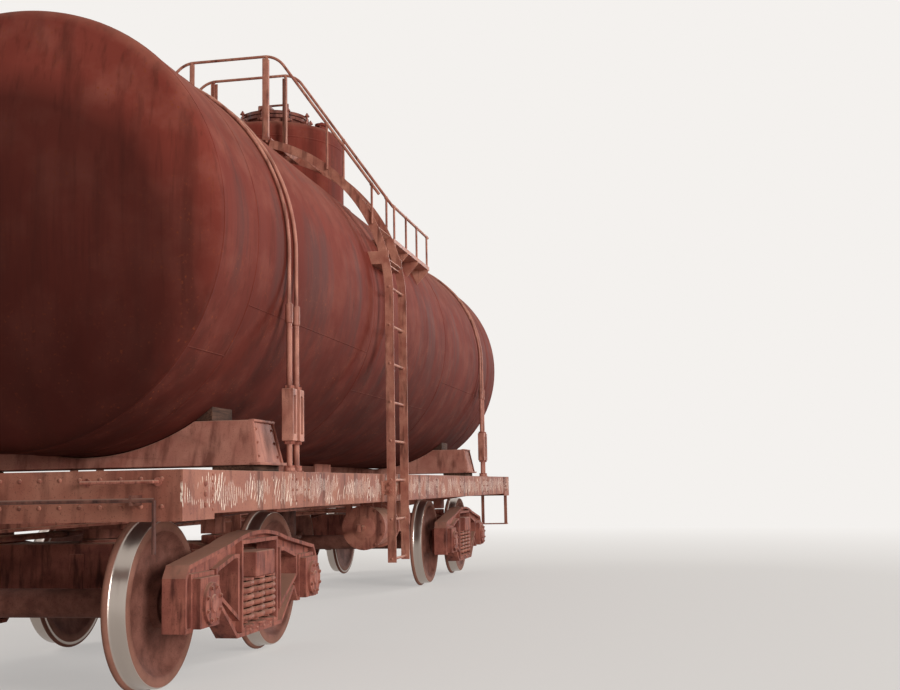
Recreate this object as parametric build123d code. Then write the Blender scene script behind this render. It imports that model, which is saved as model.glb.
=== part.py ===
from build123d import *
import math
import os

# Railway tank car on two four-wheel bogies, in millimetres.
# X runs along the car, Y across it, Z up. The origin is mid-car, level with the flange tips.
# Named heights are above the rail, which lies one flange depth above the origin.
# Near and far name the two ends: near is the -X end, and the side first seen is -Y.

os.makedirs("parts", exist_ok=True)

# Wheels and axles
TREAD_R = 475.0
FLANGE_DEPTH = 28.0
FLANGE_W = 32.0
WHEEL_W = 130.0
BACK_TO_BACK = 1440.0
RIM_T = 68.0
WEB_T = 30.0
HUB_R = 135.0
HUB_W = 170.0
HUB_INSET = 20.0
AXLE_R = 83.0
SEAT_R = 97.0
JOURNAL_R = 65.0
JOURNAL_Y = 1018.0
JOURNAL_HALF = 95.0
SHAFT_FIT = 0.05

# Bogie side frames
BOGIE_X = 3560.0
WHEELBASE = 1850.0
FRAME_T = 140.0
FRAME_WEB_T = 56.0
FRAME_RIM = 24.0
ARCH_TOP = 850.0
ARCH_SPRING = 790.0
ARCH_HALF = 500.0
SHOULDER_TOP = 700.0
FRAME_BOTTOM = 212.0
FRAME_FOOT_HALF = 400.0
FRAME_END = 235.0
PEDESTAL_FOOT = 330.0
PEDESTAL_T = 60.0
CHORD_T = 76.0
COLUMN_T = 88.0
WINDOW_HALF = 300.0
GAP_RISE = (90.0, 190.0)
GAP_TOP = (70.0, 10.0)
GAP_SHELF = 60.0

# Springs, axle boxes and bogie bolster
SPRING_SEAT = 262.0
SPRING_H = 300.0
SPRING_R = 96.0
SPRING_PITCH = 196.0
SPRING_COILS = 6
BOX_HALF = 140.0
BOX_H = 300.0
BOX_L = 230.0
BOX_GAP = 4.0
BOX_COVER_R = 118.0
BOX_COVER_T = 24.0
BOLSTER_W = 340.0
BOLSTER_SAG = 70.0
BOLSTER_SLOPE = (150.0, 190.0)
BOLSTER_END_H = 160.0
BOLSTER_REACH = 1125.0
PIVOT_R = 150.0
PIVOT_H = 806.0
PIVOT_T = 24.0
PIVOT_GAP = 5.0
BEARING_Y = 762.0
BEARING_L = 170.0
BEARING_W = 100.0
BEARING_RISE = 20.0
BEARING_GAP = 8.0

# Brakes
SHOE_GAP = 9.0
SHOE_T = 48.0
SHOE_W = 78.0
SHOE_ANGLE = 36.0
BEAM_R = 28.0
HANGER_R = 12.0
HANGER_H = 262.0
LEVER_T = 22.0
LEVER_W = 90.0
LEVER_H = 250.0
CYLINDER_R = 178.0
CYLINDER_L = 520.0
CYLINDER_RIM = 24.0
CYLINDER_AT = (-140.0, 900.0, 745.0)
RESERVOIR_R = 152.0
RESERVOIR_L = 980.0
RESERVOIR_AT = (650.0, 700.0, 790.0)
DISTRIBUTOR_AT = (1240.0, 720.0, 800.0)
DISTRIBUTOR = (210.0, 270.0, 300.0)
VALVE_HORN = 70.0
HANGER_T = 12.0
ROD_R = 16.0
ROD_AT = (330.0, 780.0)
ROD_ENDS = (1080.0, 2080.0)
PIPE_R = 21.0
PIPE_AT = (330.0, 838.0)
PIPE_OVERHANG = 70.0
COCK_R = 34.0

# Underframe, as wide as the tank and a margin
TANK_R = 1310.0
FRAME_HALF = 5400.0
SILL_MARGIN = 50.0
SILL_FACE = TANK_R + SILL_MARGIN
SILL_H = 228.0
SILL_W = 90.0
SILL_T = 12.0
SILL_TOP = 1218.0
CENTRE_H = 310.0
CENTRE_HALF = 175.0
CENTRE_T = 16.0
CENTRE_FLANGE = 95.0
END_BEAM_T = 60.0
CORNER_L = 400.0
CORNER_T = 10.0
CORNER_DROP = 28.0
STRIKER_W = 110.0
STRIKER_T = 46.0
STEP_W = 360.0
STEP_DROP = 420.0
STEP_BAR = 14.0
STEP_TREAD = 110.0
STEP_INSET = 20.0
BODY_BOLSTER_W = 360.0
BODY_BOLSTER_H = 345.0
BODY_BOLSTER_FLAT = 60.0
BEARER_X = (650.0, 1900.0)
BEARER_H = 200.0
BEARER_W = 80.0
BEARER_T = 12.0

# Couplers
COUPLER_HEIGHT = 1060.0
COUPLER_OVERHANG = 610.0
COUPLER_TAIL = 500.0
COUPLER_HALF_W = 65.0
COUPLER_HALF_H = 80.0
COUPLER_FACE_H = 300.0
COUPLER_GAP = 12.0
COUPLER_LAP = 20.0
# Claw seen from above: how far behind the face each corner is, and its place across
CLAW = (
    (340.0, -110.0), (340.0, 110.0), (200.0, 190.0), (30.0, 215.0), (30.0, 130.0), (120.0, 100.0),
    (130.0, 20.0), (20.0, -10.0), (0.0, -130.0), (60.0, -185.0), (180.0, -190.0))
LEVER_ROD_R = 11.0
LEVER_ROD_OUT = 60.0
LEVER_ROD_DROP = 150.0
LEVER_HANDLE = 260.0
LEVER_INSET = 90.0

# Tank, which clears the top of the frame
TANK_CLEARANCE = 122.0
TANK_AXIS = SILL_TOP + TANK_CLEARANCE + TANK_R
BARREL_HALF = 4720.0
HEAD_DEPTH = 300.0
HEAD_KNUCKLE = 120.0
DOME_X = -250.0
DOME_R = 660.0
DOME_H = 440.0
DOME_CROWN = 130.0
DOME_KNUCKLE = 85.0
DOME_COLLAR_R = 730.0
DOME_COLLAR_T = 16.0
ANCHOR_X = 420.0
ANCHOR_L = 520.0
ANCHOR_T = 16.0

# Hatch and valve
NECK_R = 295.0
NECK_H = 110.0
NECK_WALL = 14.0
NECK_FLANGE_T = 30.0
LID_R = 330.0
LID_T = 30.0
LID_GAP = 6.0
LID_CROWN = 34.0
LID_RIM = 45.0
HINGE_REACH = 372.0
HINGE_PIN_R = 9.0
EAR_Y = 72.0
EAR_T = 18.0
EAR_R = 28.0
GRIP_HALF = 145.0
GRIP_BAR = 18.0
GRIP_H = 62.0
SWING_BOLTS = 7
SWING_STEP = 40.0
LUG_W = 14.0
LUG_SLOT = 40.0
LUG_OUT = 40.0
VALVE_AT = (60.0, -455.0)
VALVE_R = 48.0
VALVE_H = 200.0
VALVE_CAP_R = 66.0

# Straps and saddles
STRAP_X = 3600.0
STRAP_BAR_R = 13.0
STRAP_ROD_R = 18.0
STRAP_GAP = 140.0
STRAP_JOINT = TANK_AXIS - 350.0
SLEEVE_R = 25.0
SLEEVE_H = 120.0
TURNBUCKLE_W = 84.0
TURNBUCKLE_D = 78.0
TURNBUCKLE_H = 335.0
TURNBUCKLE_BOSS = 45.0
TURNBUCKLE_Z = SILL_TOP + 197.0
ANCHOR_NUT_R = 34.0
ANCHOR_NUT_H = 26.0
SADDLE_HALF = 250.0
SADDLE_TOP_HALF = 190.0
SADDLE_FOOT_Y = SILL_FACE - 195.0
SADDLE_WING_Y = SADDLE_FOOT_Y - 55.0
SADDLE_WING_TOP = SILL_TOP + 334.0
TIMBER_T = 46.0
TIMBER_IN = 300.0
PAD_Y = (SADDLE_WING_Y - 380.0, SADDLE_WING_Y - 270.0)
TANK_GAP = 6.0

# Ladders, walkway and rails
LADDER_X = -1180.0
LADDER_HALF = 230.0
STILE_W = 72.0
STILE_T = 11.0
STILE_GAP = 12.0
LADDER_FOOT = 495.0
RUNG_START = 28.0
RUNG_PITCH = 322.0
RUNG_R = 11.0
RUNG_COUNT = 8
TREAD_ANGLES = (12.0, 24.0, 36.0, 48.0, 60.0, 70.0)
TREAD_W = 60.0
TREAD_T = 10.0
ARC_RISE = 62.0
ARC_END = 75.0
BRACKET_T = 10.0
BRACKET_H = 120.0
ARM_RISE = 380.0
ARM_H = 110.0
DECK_T = 12.0
RAIL_R = 12.5
RAIL_TOP = TANK_AXIS + TANK_R + 900.0
RAIL_END = (SILL_FACE - 15.0, TANK_AXIS + 920.0)
RAIL_BEND = 90.0
RAIL_TURN = 220.0
POST_R = 10.0
STANCHIONS = (0.5, 0.93)
BOARD_L = 1450.0
BOARD_GAP = 34.0
BOARD_W = 200.0
BOARD_T = 36.0
BOARD_Z = TANK_AXIS + 650.0
BOARD_RAIL_Z = BOARD_Z + 300.0
BOARD_POSTS = (0.04, 0.35, 0.65, 0.96)
BRACE_DROP = 240.0
BRACE_T = 10.0

# Outlet
OUTLET_R = 100.0
OUTLET_WALL = 10.0
OUTLET_BOTTOM = 640.0
OUTLET_DEPTH = 260.0
OUTLET_FLANGE_R = 160.0
OUTLET_FLANGE_T = 22.0
OUTLET_CIRCLE_R = 135.0
OUTLET_HOLES = 8
OUTLET_HOLE_R = 11.0
OUTLET_GAP = 25.0


def height(h):
    return FLANGE_DEPTH + h


def block(x0, x1, y0, y1, z0, z1):
    corner = (Align.MIN, Align.MIN, Align.MIN)
    return Pos(x0, y0, z0) * Box(x1 - x0, y1 - y0, z1 - z0, align=corner)


def rod_x(x0, x1, y, z, radius):
    return Pos((x0 + x1) / 2, y, z) * Rot(0, 90, 0) * Cylinder(radius, abs(x1 - x0))


def rod_y(x, y0, y1, z, radius):
    return Pos(x, (y0 + y1) / 2, z) * Rot(90, 0, 0) * Cylinder(radius, abs(y1 - y0))


def rod_z(x, y, z0, z1, radius):
    return Pos(x, y, (z0 + z1) / 2) * Cylinder(radius, abs(z1 - z0))


def across(shape):
    return mirror(shape, Plane.XZ)


def along(shape):
    return mirror(shape, Plane.YZ)


def both_ways(shape):
    return [shape, across(shape), along(shape), along(across(shape))]


def prism_y(points, y0, y1):
    # Outline of (x, z) points, pushed from y0 to y1
    face = Plane.XZ.offset(-y0) * make_face(Polyline(*points, close=True))
    return extrude(face, -(y1 - y0))


def prism_x(points, x0, x1):
    # Outline of (y, z) points, pushed from x0 to x1
    face = Plane.YZ.offset(x0) * make_face(Polyline(*points, close=True))
    return extrude(face, x1 - x0)


def tube_along(path, radius):
    section = Plane(origin=path @ 0, z_dir=path % 0) * Circle(radius)
    return sweep(section, path=path)


def tank_bore(x0, x1, gap=0.0):
    return rod_x(x0, x1, 0, height(TANK_AXIS), TANK_R + gap)


def save(name, *shapes):
    flat = []
    for shape in shapes:
        flat.extend(shape if isinstance(shape, list) else [shape])
    solids = [solid for shape in flat for solid in shape.solids()]
    export_step(Compound(children=solids), f"parts/{name}.step")


# Tank and dome

def dish(radius, depth, knuckle):
    # Dished end standing on the XY plane: a crown arc that runs into a knuckle arc
    crown = (depth ** 2 - knuckle ** 2 + (radius - knuckle) ** 2) / (2 * (depth - knuckle))
    turn = math.asin((radius - knuckle) / (crown - knuckle))
    centre = depth - crown
    joint = (crown * math.sin(turn), centre + crown * math.cos(turn))
    middle = (crown * math.sin(turn / 2), centre + crown * math.cos(turn / 2))
    half = (math.pi / 2 - turn) / 2
    bend = (radius - knuckle + knuckle * math.cos(half), knuckle * math.sin(half))
    outline = Polyline((radius, 0), (0, 0), (0, depth))
    outline += ThreePointArc((0, depth), middle, joint)
    outline += ThreePointArc(joint, bend, (radius, 0))
    return revolve(Plane.XZ * make_face(outline), Axis.Z, 360)


def tank():
    save("tank_barrel", tank_bore(-BARREL_HALF, BARREL_HALF))
    turned = Rot(0, 90, 0) * dish(TANK_R, HEAD_DEPTH, HEAD_KNUCKLE)
    head = Pos(BARREL_HALF, 0, height(TANK_AXIS)) * turned
    save("tank_heads", head, along(head))


def dome():
    axis = height(TANK_AXIS)
    shoulder = axis + TANK_R + DOME_H
    rim = shoulder + DOME_CROWN + NECK_H
    body = rod_z(DOME_X, 0, axis, shoulder, DOME_R)
    body += Pos(DOME_X, 0, shoulder) * dish(DOME_R, DOME_CROWN, DOME_KNUCKLE)
    collar = tank_bore(DOME_X - 2 * DOME_R, DOME_X + 2 * DOME_R, DOME_COLLAR_T)
    body += collar & rod_z(DOME_X, 0, axis, shoulder, DOME_COLLAR_R)
    body -= tank_bore(DOME_X - 2 * DOME_R, DOME_X + 2 * DOME_R)
    body -= rod_z(DOME_X, 0, shoulder, rim, NECK_R - NECK_WALL)
    save("dome", body)
    neck = rod_z(DOME_X, 0, shoulder + DOME_CROWN / 10, rim, NECK_R) - body
    neck -= rod_z(DOME_X, 0, shoulder, rim + 1, NECK_R - NECK_WALL)
    hatch_neck(rim, neck)
    hatch_lid(rim)
    x, y = DOME_X + VALVE_AT[0], VALVE_AT[1]
    valve = rod_z(x, y, shoulder, shoulder + VALVE_H, VALVE_R)
    valve += rod_z(x, y, shoulder + VALVE_H - 10, shoulder + VALVE_H + 15, VALVE_CAP_R)
    save("relief_valve", valve - body)


def hinge_place(rim):
    return DOME_X + HINGE_REACH, rim + LID_GAP + LID_T / 2


def swing_angles():
    first = 180 - SWING_STEP * (SWING_BOLTS - 1) / 2
    return [first + SWING_STEP * number for number in range(SWING_BOLTS)]


def hatch_neck(rim, neck):
    hinge_x, hinge_z = hinge_place(rim)
    low = rim - NECK_FLANGE_T
    flange_r = LID_R - 8
    neck += rod_z(DOME_X, 0, low, rim, flange_r) - rod_z(DOME_X, 0, low - 1, rim + 1, NECK_R - 1)
    for side in (-1, 1):
        y0, y1 = side * EAR_Y - EAR_T / 2, side * EAR_Y + EAR_T / 2
        neck += block(hinge_x - 75, hinge_x + EAR_R, y0, y1, low, rim)
        neck += block(hinge_x - EAR_R, hinge_x + EAR_R, y0, y1, low, hinge_z + EAR_R)
    neck += rod_y(hinge_x, -EAR_Y - EAR_T, EAR_Y + EAR_T, hinge_z, HINGE_PIN_R)
    for angle in swing_angles():
        for side in (-1, 1):
            y = side * (LUG_SLOT + LUG_W) / 2
            lug = block(NECK_R - 4, flange_r + LUG_OUT, y - LUG_W / 2, y + LUG_W / 2, low - 34, low + 4)
            neck += Pos(DOME_X, 0, 0) * Rot(0, 0, angle) * lug
    save("hatch_neck", neck)


def hatch_lid(rim):
    hinge_x, hinge_z = hinge_place(rim)
    base = rim + LID_GAP
    top = base + LID_T
    lid = rod_z(DOME_X, 0, base, top, LID_R)
    lid += Pos(DOME_X, 0, top) * dish(LID_R - LID_RIM, LID_CROWN, LID_CROWN / 3)
    arm_y = EAR_Y - EAR_T / 2 - LID_GAP
    lid += block(DOME_X + LID_R - 60, hinge_x, -arm_y, arm_y, hinge_z - 11, hinge_z + 11)
    lid += rod_y(hinge_x, -arm_y, arm_y, hinge_z, EAR_R - 4)
    lid -= rod_y(hinge_x, -arm_y - 1, arm_y + 1, hinge_z, HINGE_PIN_R + SHAFT_FIT)
    crest = top + LID_CROWN + GRIP_H
    half = GRIP_BAR / 2
    grip = block(DOME_X - GRIP_HALF, DOME_X + GRIP_HALF, -half, half, top, crest)
    grip -= block(DOME_X - GRIP_HALF + GRIP_BAR, DOME_X + GRIP_HALF - GRIP_BAR, -half, half, top, crest - GRIP_BAR)
    save("hatch_lid", lid + grip)


# Running gear

def wheelset(number, centre):
    axle_z = height(TREAD_R)
    inner = BACK_TO_BACK / 2
    outer = inner + WHEEL_W
    hub_in = inner - HUB_INSET
    hub_out = hub_in + HUB_W
    axle = rod_y(centre, -hub_in, hub_in, axle_z, AXLE_R)
    end = JOURNAL_Y + JOURNAL_HALF
    axle += rod_y(centre, -end, end, axle_z, JOURNAL_R)
    for side in (-1, 1):
        axle += rod_y(centre, side * hub_in, side * (hub_out + HUB_INSET), axle_z, SEAT_R)
    save(f"axle_{number}", axle)
    middle = (inner + outer) / 2
    rim_r = TREAD_R - RIM_T
    flange_r = TREAD_R + FLANGE_DEPTH
    profile = [
        (SEAT_R, hub_in), (HUB_R, hub_in), (HUB_R, middle - WEB_T / 2), (rim_r, middle - WEB_T / 2),
        (rim_r, inner), (flange_r - 6, inner), (flange_r, inner + 10), (flange_r, inner + 18),
        (TREAD_R + 3, inner + FLANGE_W), (TREAD_R, inner + FLANGE_W + 14), (TREAD_R - 3, outer - 8),
        (TREAD_R - 10, outer), (rim_r, outer), (rim_r, middle + WEB_T / 2), (HUB_R, middle + WEB_T / 2),
        (HUB_R, hub_out), (SEAT_R, hub_out)]
    face = make_face(Polyline(*profile, close=True))
    wheel = Pos(centre, 0, axle_z) * revolve(face, Axis.Y, 360)
    save(f"wheels_{number}", wheel, across(wheel))


def frame_outline(half_base):
    # Cast side frame: an arched top chord, two pedestals and a foot under the springs
    end = half_base + FRAME_END
    foot = height(PEDESTAL_FOOT)
    shoulder = height(SHOULDER_TOP)
    leg = half_base - BOX_HALF - PEDESTAL_T
    spring = height(ARCH_SPRING)
    right = [
        (ARCH_HALF, spring), (half_base - 60, shoulder + 34), (end - 50, shoulder), (end, shoulder - 70),
        (end, foot), (leg, foot), (leg - 70, foot + 90), (FRAME_FOOT_HALF, height(FRAME_BOTTOM))]
    left = [(-x, z) for x, z in reversed(right)]
    outline = Polyline(*right, *left)
    outline += ThreePointArc((-ARCH_HALF, spring), (0, height(ARCH_TOP)), (ARCH_HALF, spring))
    return make_face(outline)


def side_gap(half_base, side):
    near = WINDOW_HALF + COLUMN_T
    far = half_base - BOX_HALF - PEDESTAL_T - 20
    jaw_top = height(TREAD_R) + BOX_H / 2
    points = [
        (side * near, height(SPRING_SEAT) + GAP_RISE[0]), (side * near, jaw_top + GAP_TOP[0]),
        (side * (near + GAP_SHELF), jaw_top + GAP_TOP[0]), (side * far, jaw_top + GAP_TOP[1]),
        (side * far, height(PEDESTAL_FOOT) + GAP_RISE[1])]
    return make_face(Polyline(*points, close=True))


def side_frame(half_base):
    outer_face = frame_outline(half_base)
    window_low, window_top = height(SPRING_SEAT), height(ARCH_TOP - CHORD_T)
    middle = (window_low + window_top) / 2
    window = Pos(0, middle) * Rectangle(2 * WINDOW_HALF, window_top - window_low)
    jaw_top = height(TREAD_R) + BOX_H / 2
    jaws = [Pos(side * half_base, jaw_top / 2) * Rectangle(2 * BOX_HALF, jaw_top) for side in (-1, 1)]
    gaps = [side_gap(half_base, side) for side in (-1, 1)]
    full = outer_face - window
    pocket = offset(outer_face, -FRAME_RIM) - offset(window, FRAME_RIM, kind=Kind.INTERSECTION)
    for cut in jaws + gaps:
        full -= cut
        pocket -= offset(cut, FRAME_RIM, kind=Kind.INTERSECTION)
    inner = JOURNAL_Y - FRAME_T / 2
    frame = extrude(Plane.XZ.offset(-inner) * full, -FRAME_T)
    depth = (FRAME_T - FRAME_WEB_T) / 2
    for y in (inner, inner + FRAME_T - depth):
        frame -= extrude(Plane.XZ.offset(-y) * pocket, -depth)
    return frame


def spring_stack(x, y):
    seat = height(SPRING_SEAT)
    wire = SPRING_H / SPRING_COILS / 2
    stack = rod_z(x, y, seat, seat + SPRING_H, SPRING_R - 1.7 * wire)
    for turn in range(SPRING_COILS):
        stack += Pos(x, y, seat + (2 * turn + 1) * wire) * Torus(SPRING_R - wire, wire * 0.98)
    return stack


def bogie_bolster():
    spring_top = height(SPRING_SEAT + SPRING_H)
    end_top = spring_top + BOLSTER_END_H
    crown = height(PIVOT_H) - PIVOT_T
    flat = JOURNAL_Y - FRAME_T
    right = [
        (flat - BOLSTER_SLOPE[0], spring_top - BOLSTER_SAG), (flat, spring_top), (BOLSTER_REACH, spring_top),
        (BOLSTER_REACH, end_top), (flat + 10, end_top), (flat - BOLSTER_SLOPE[1], crown)]
    outline = right + [(-y, z) for y, z in reversed(right)]
    bolster = prism_x(outline, -BOLSTER_W / 2, BOLSTER_W / 2)
    bolster += rod_z(0, 0, crown, height(PIVOT_H), PIVOT_R)
    for side in (-1, 1):
        y = side * BEARING_Y
        bolster += block(-BEARING_L / 2, BEARING_L / 2, y - BEARING_W / 2, y + BEARING_W / 2,
                         spring_top, height(PIVOT_H) + BEARING_RISE)
    return bolster


def axle_box(half_base):
    axle_z = height(TREAD_R)
    wall = BOX_HALF - BOX_GAP
    box_in = JOURNAL_Y - BOX_L / 2
    box_out = JOURNAL_Y + BOX_L / 2
    body = block(half_base - wall, half_base + wall, box_in, box_out, axle_z - BOX_H / 2 + 20, axle_z + BOX_H / 2 - 1)
    body -= rod_y(half_base, box_in - 1, JOURNAL_Y + JOURNAL_HALF + 3, axle_z, JOURNAL_R + SHAFT_FIT)
    return body + rod_y(half_base, box_out, box_out + BOX_COVER_T, axle_z, BOX_COVER_R)


def brake_rigging(half_base):
    axle_z = height(TREAD_R)
    shoe_in = TREAD_R + SHOE_GAP
    ring = rod_y(half_base, 0, SHOE_W, axle_z, shoe_in + SHOE_T) - rod_y(half_base, -1, SHOE_W + 1, axle_z, shoe_in)
    reach = 2 * TREAD_R
    slope = math.tan(math.radians(SHOE_ANGLE / 2))
    wedge = prism_y([(half_base, axle_z), (half_base - reach, axle_z - reach * slope),
                     (half_base - reach, axle_z + reach * slope)], -1, SHOE_W + 1)
    tread_y = BACK_TO_BACK / 2 + FLANGE_W + 12
    shoe = Pos(0, tread_y, 0) * (ring & wedge)
    beam_x = half_base - shoe_in - SHOE_T - BEAM_R + 4
    rigging = rod_y(beam_x, -tread_y - SHOE_W + 5, tread_y + SHOE_W - 5, axle_z, BEAM_R)
    rigging += block(beam_x - LEVER_T / 2, beam_x + LEVER_T / 2, -LEVER_W / 2, LEVER_W / 2,
                     axle_z - LEVER_W, axle_z + LEVER_H)
    hang_y = tread_y + SHOE_W / 2
    hanger = rod_z(beam_x, hang_y, axle_z, axle_z + HANGER_H, HANGER_R)
    hanger += rod_y(beam_x, hang_y - 2 * HANGER_R, JOURNAL_Y - FRAME_T / 2, axle_z + HANGER_H, HANGER_R + 2)
    for piece in (shoe, hanger):
        rigging += piece
        rigging += across(piece)
    return rigging


def bogie(name, centre):
    half_base = WHEELBASE / 2
    place = Pos(centre, 0, 0)
    frame = place * side_frame(half_base)
    save(f"side_frames_{name}", frame, across(frame))
    springs = [place * spring_stack(x, JOURNAL_Y) for x in (-SPRING_PITCH, 0, SPRING_PITCH)]
    save(f"springs_{name}", springs, [across(spring) for spring in springs])
    save(f"bogie_bolster_{name}", place * bogie_bolster())
    save(f"axle_boxes_{name}", [place * box for box in both_ways(axle_box(half_base))])
    rigging = brake_rigging(half_base)
    save(f"brake_rigging_{name}", place * rigging, place * along(rigging))


# Underframe

def centre_sill():
    top = height(SILL_TOP)
    low = top - CENTRE_H
    web = CENTRE_HALF + CENTRE_T
    lip = CENTRE_HALF + CENTRE_FLANGE
    right = [
        (web, top), (web, low + CENTRE_T), (lip, low + CENTRE_T), (lip, low), (CENTRE_HALF, low),
        (CENTRE_HALF, top - CENTRE_T)]
    outline = right + [(-y, z) for y, z in reversed(right)]
    end = FRAME_HALF - END_BEAM_T
    beam = prism_x(outline, -end, end)
    beam -= rod_z(0, 0, low - 1, top + 1, OUTLET_R + OUTLET_WALL + OUTLET_GAP)
    save("centre_sill", beam)


def side_sills():
    top = height(SILL_TOP)
    low = top - SILL_H
    inner = SILL_FACE - SILL_W
    web = SILL_FACE - SILL_T
    outline = [
        (SILL_FACE, top), (SILL_FACE, low), (inner, low), (inner, low + SILL_T), (web, low + SILL_T),
        (web, top - SILL_T), (inner, top - SILL_T), (inner, top)]
    end = FRAME_HALF - END_BEAM_T
    sill = prism_x(outline, -end, end)
    save("side_sills", sill, across(sill))


def corner_step():
    # Stirrup step that hangs from the end beam at one corner
    low = height(SILL_TOP) - SILL_H
    x0, x1 = FRAME_HALF - STEP_BAR, FRAME_HALF
    y1 = SILL_FACE - STEP_INSET
    y0 = y1 - STEP_W
    foot = low - STEP_DROP
    step = block(x0, x1, y0, y0 + 3 * STEP_BAR, foot, low) + block(x0, x1, y1 - 3 * STEP_BAR, y1, foot, low)
    step += block(x0 - STEP_TREAD / 2, x1 + STEP_TREAD / 2, y0, y1, foot, foot + STEP_BAR)
    return step


def end_beams():
    top = height(SILL_TOP)
    low = top - SILL_H - CORNER_DROP
    inside = FRAME_HALF - END_BEAM_T
    beam = block(inside, FRAME_HALF, -SILL_FACE, SILL_FACE, low, top)
    half = CENTRE_HALF + STRIKER_W
    throat_z = height(COUPLER_HEIGHT)
    beam += block(FRAME_HALF - 1, FRAME_HALF + STRIKER_T, -half, half, low - 30, top - 10)
    throat_y = COUPLER_HALF_W + COUPLER_GAP + 40
    throat_h = COUPLER_HALF_H + COUPLER_GAP
    beam -= block(inside - 1, FRAME_HALF + STRIKER_T + 1, -throat_y, throat_y, throat_z - throat_h, throat_z + throat_h)
    corner = block(FRAME_HALF - CORNER_L, FRAME_HALF, SILL_FACE, SILL_FACE + CORNER_T, low, top)
    beam += corner
    beam += across(corner)
    beam += across(corner_step())
    save("end_beams", beam, Rot(0, 0, 180) * beam)


def body_bolsters():
    top = height(SILL_TOP)
    low = top - BODY_BOLSTER_H
    inner = SILL_FACE - SILL_W
    web = CENTRE_HALF + CENTRE_T
    lip = CENTRE_HALF + CENTRE_FLANGE
    sill_low = top - CENTRE_H
    flat = lip + BODY_BOLSTER_FLAT
    side_low = top - SILL_H + SILL_T
    wing = [
        (web, top - SILL_T), (inner, top - SILL_T), (inner, side_low), (flat, low), (0, low), (0, sill_low),
        (lip, sill_low), (lip, sill_low + CENTRE_T), (web, sill_low + CENTRE_T)]
    half = BODY_BOLSTER_W / 2
    side = prism_x(wing, BOGIE_X - half, BOGIE_X + half)
    beam = side + across(side)
    beam += rod_z(BOGIE_X, 0, height(PIVOT_H) + PIVOT_GAP, low + 1, PIVOT_R - 10)
    bearing_low = height(PIVOT_H) + BEARING_RISE + BEARING_GAP
    bearing_top = low + (side_low - low) * (BEARING_Y + BEARING_W / 2 - flat) / (inner - flat)
    for flank in (-1, 1):
        y = flank * BEARING_Y
        beam += block(BOGIE_X - BEARING_L / 2, BOGIE_X + BEARING_L / 2, y - BEARING_W / 2, y + BEARING_W / 2,
                      bearing_low, bearing_top)
    save("body_bolsters", beam, along(beam))


def cross_bearers():
    top = height(SILL_TOP) - SILL_T
    low = top - BEARER_H
    inner = SILL_FACE - SILL_W
    web = CENTRE_HALF + CENTRE_T
    bearers = []
    for x in BEARER_X:
        bearer = block(x - BEARER_T / 2, x + BEARER_T / 2, web, SILL_FACE - SILL_T, low, top)
        bearer += block(x - BEARER_W / 2, x + BEARER_W / 2, web, inner, top - BEARER_T, top)
        bearer += block(x - BEARER_W / 2, x + BEARER_W / 2, web, inner, low, low + BEARER_T)
        bearers.extend(both_ways(bearer))
    save("cross_bearers", bearers)


def tank_anchors():
    # Shaped feet that hold the middle of the tank to the centre sill
    top = height(SILL_TOP)
    y = CENTRE_HALF - ANCHOR_T
    plate = block(ANCHOR_X, ANCHOR_X + ANCHOR_L, y, y + ANCHOR_T, top, top + TANK_R)
    plate += block(ANCHOR_X, ANCHOR_X + ANCHOR_L, y - 60, y + ANCHOR_T, top, top + ANCHOR_T)
    plate -= tank_bore(0, FRAME_HALF)
    plate = plate.solids().sort_by(Axis.Z)[0]
    save("tank_anchors", both_ways(plate))


def saddles():
    base = height(SILL_TOP)
    seat = base + TIMBER_T
    wing_top = height(SADDLE_WING_TOP)
    right = [(SADDLE_FOOT_Y, seat), (SADDLE_WING_Y, wing_top)]
    outline = right + [(-y, z) for y, z in reversed(right)]
    cradle = prism_x(outline, STRAP_X - SADDLE_HALF, STRAP_X + SADDLE_HALF)
    side = [
        (STRAP_X - SADDLE_HALF, seat), (STRAP_X + SADDLE_HALF, seat), (STRAP_X + SADDLE_TOP_HALF, wing_top),
        (STRAP_X - SADDLE_TOP_HALF, wing_top)]
    cradle &= prism_y(side, -SADDLE_FOOT_Y, SADDLE_FOOT_Y)
    cradle -= tank_bore(0, FRAME_HALF, TANK_GAP)
    save("saddle_brackets", cradle, along(cradle))
    foot = block(STRAP_X - SADDLE_HALF + 20, STRAP_X + SADDLE_HALF - 20, SADDLE_FOOT_Y - TIMBER_IN,
                 SADDLE_FOOT_Y - 20, base, seat)
    half = SADDLE_TOP_HALF - 20
    pad = block(STRAP_X - half, STRAP_X + half, PAD_Y[0], PAD_Y[1], wing_top, height(TANK_AXIS))
    pad -= tank_bore(0, FRAME_HALF)
    pad = pad.solids().sort_by(Axis.Z)[0]
    save("timber_blocks", both_ways(foot), both_ways(pad))


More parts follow.
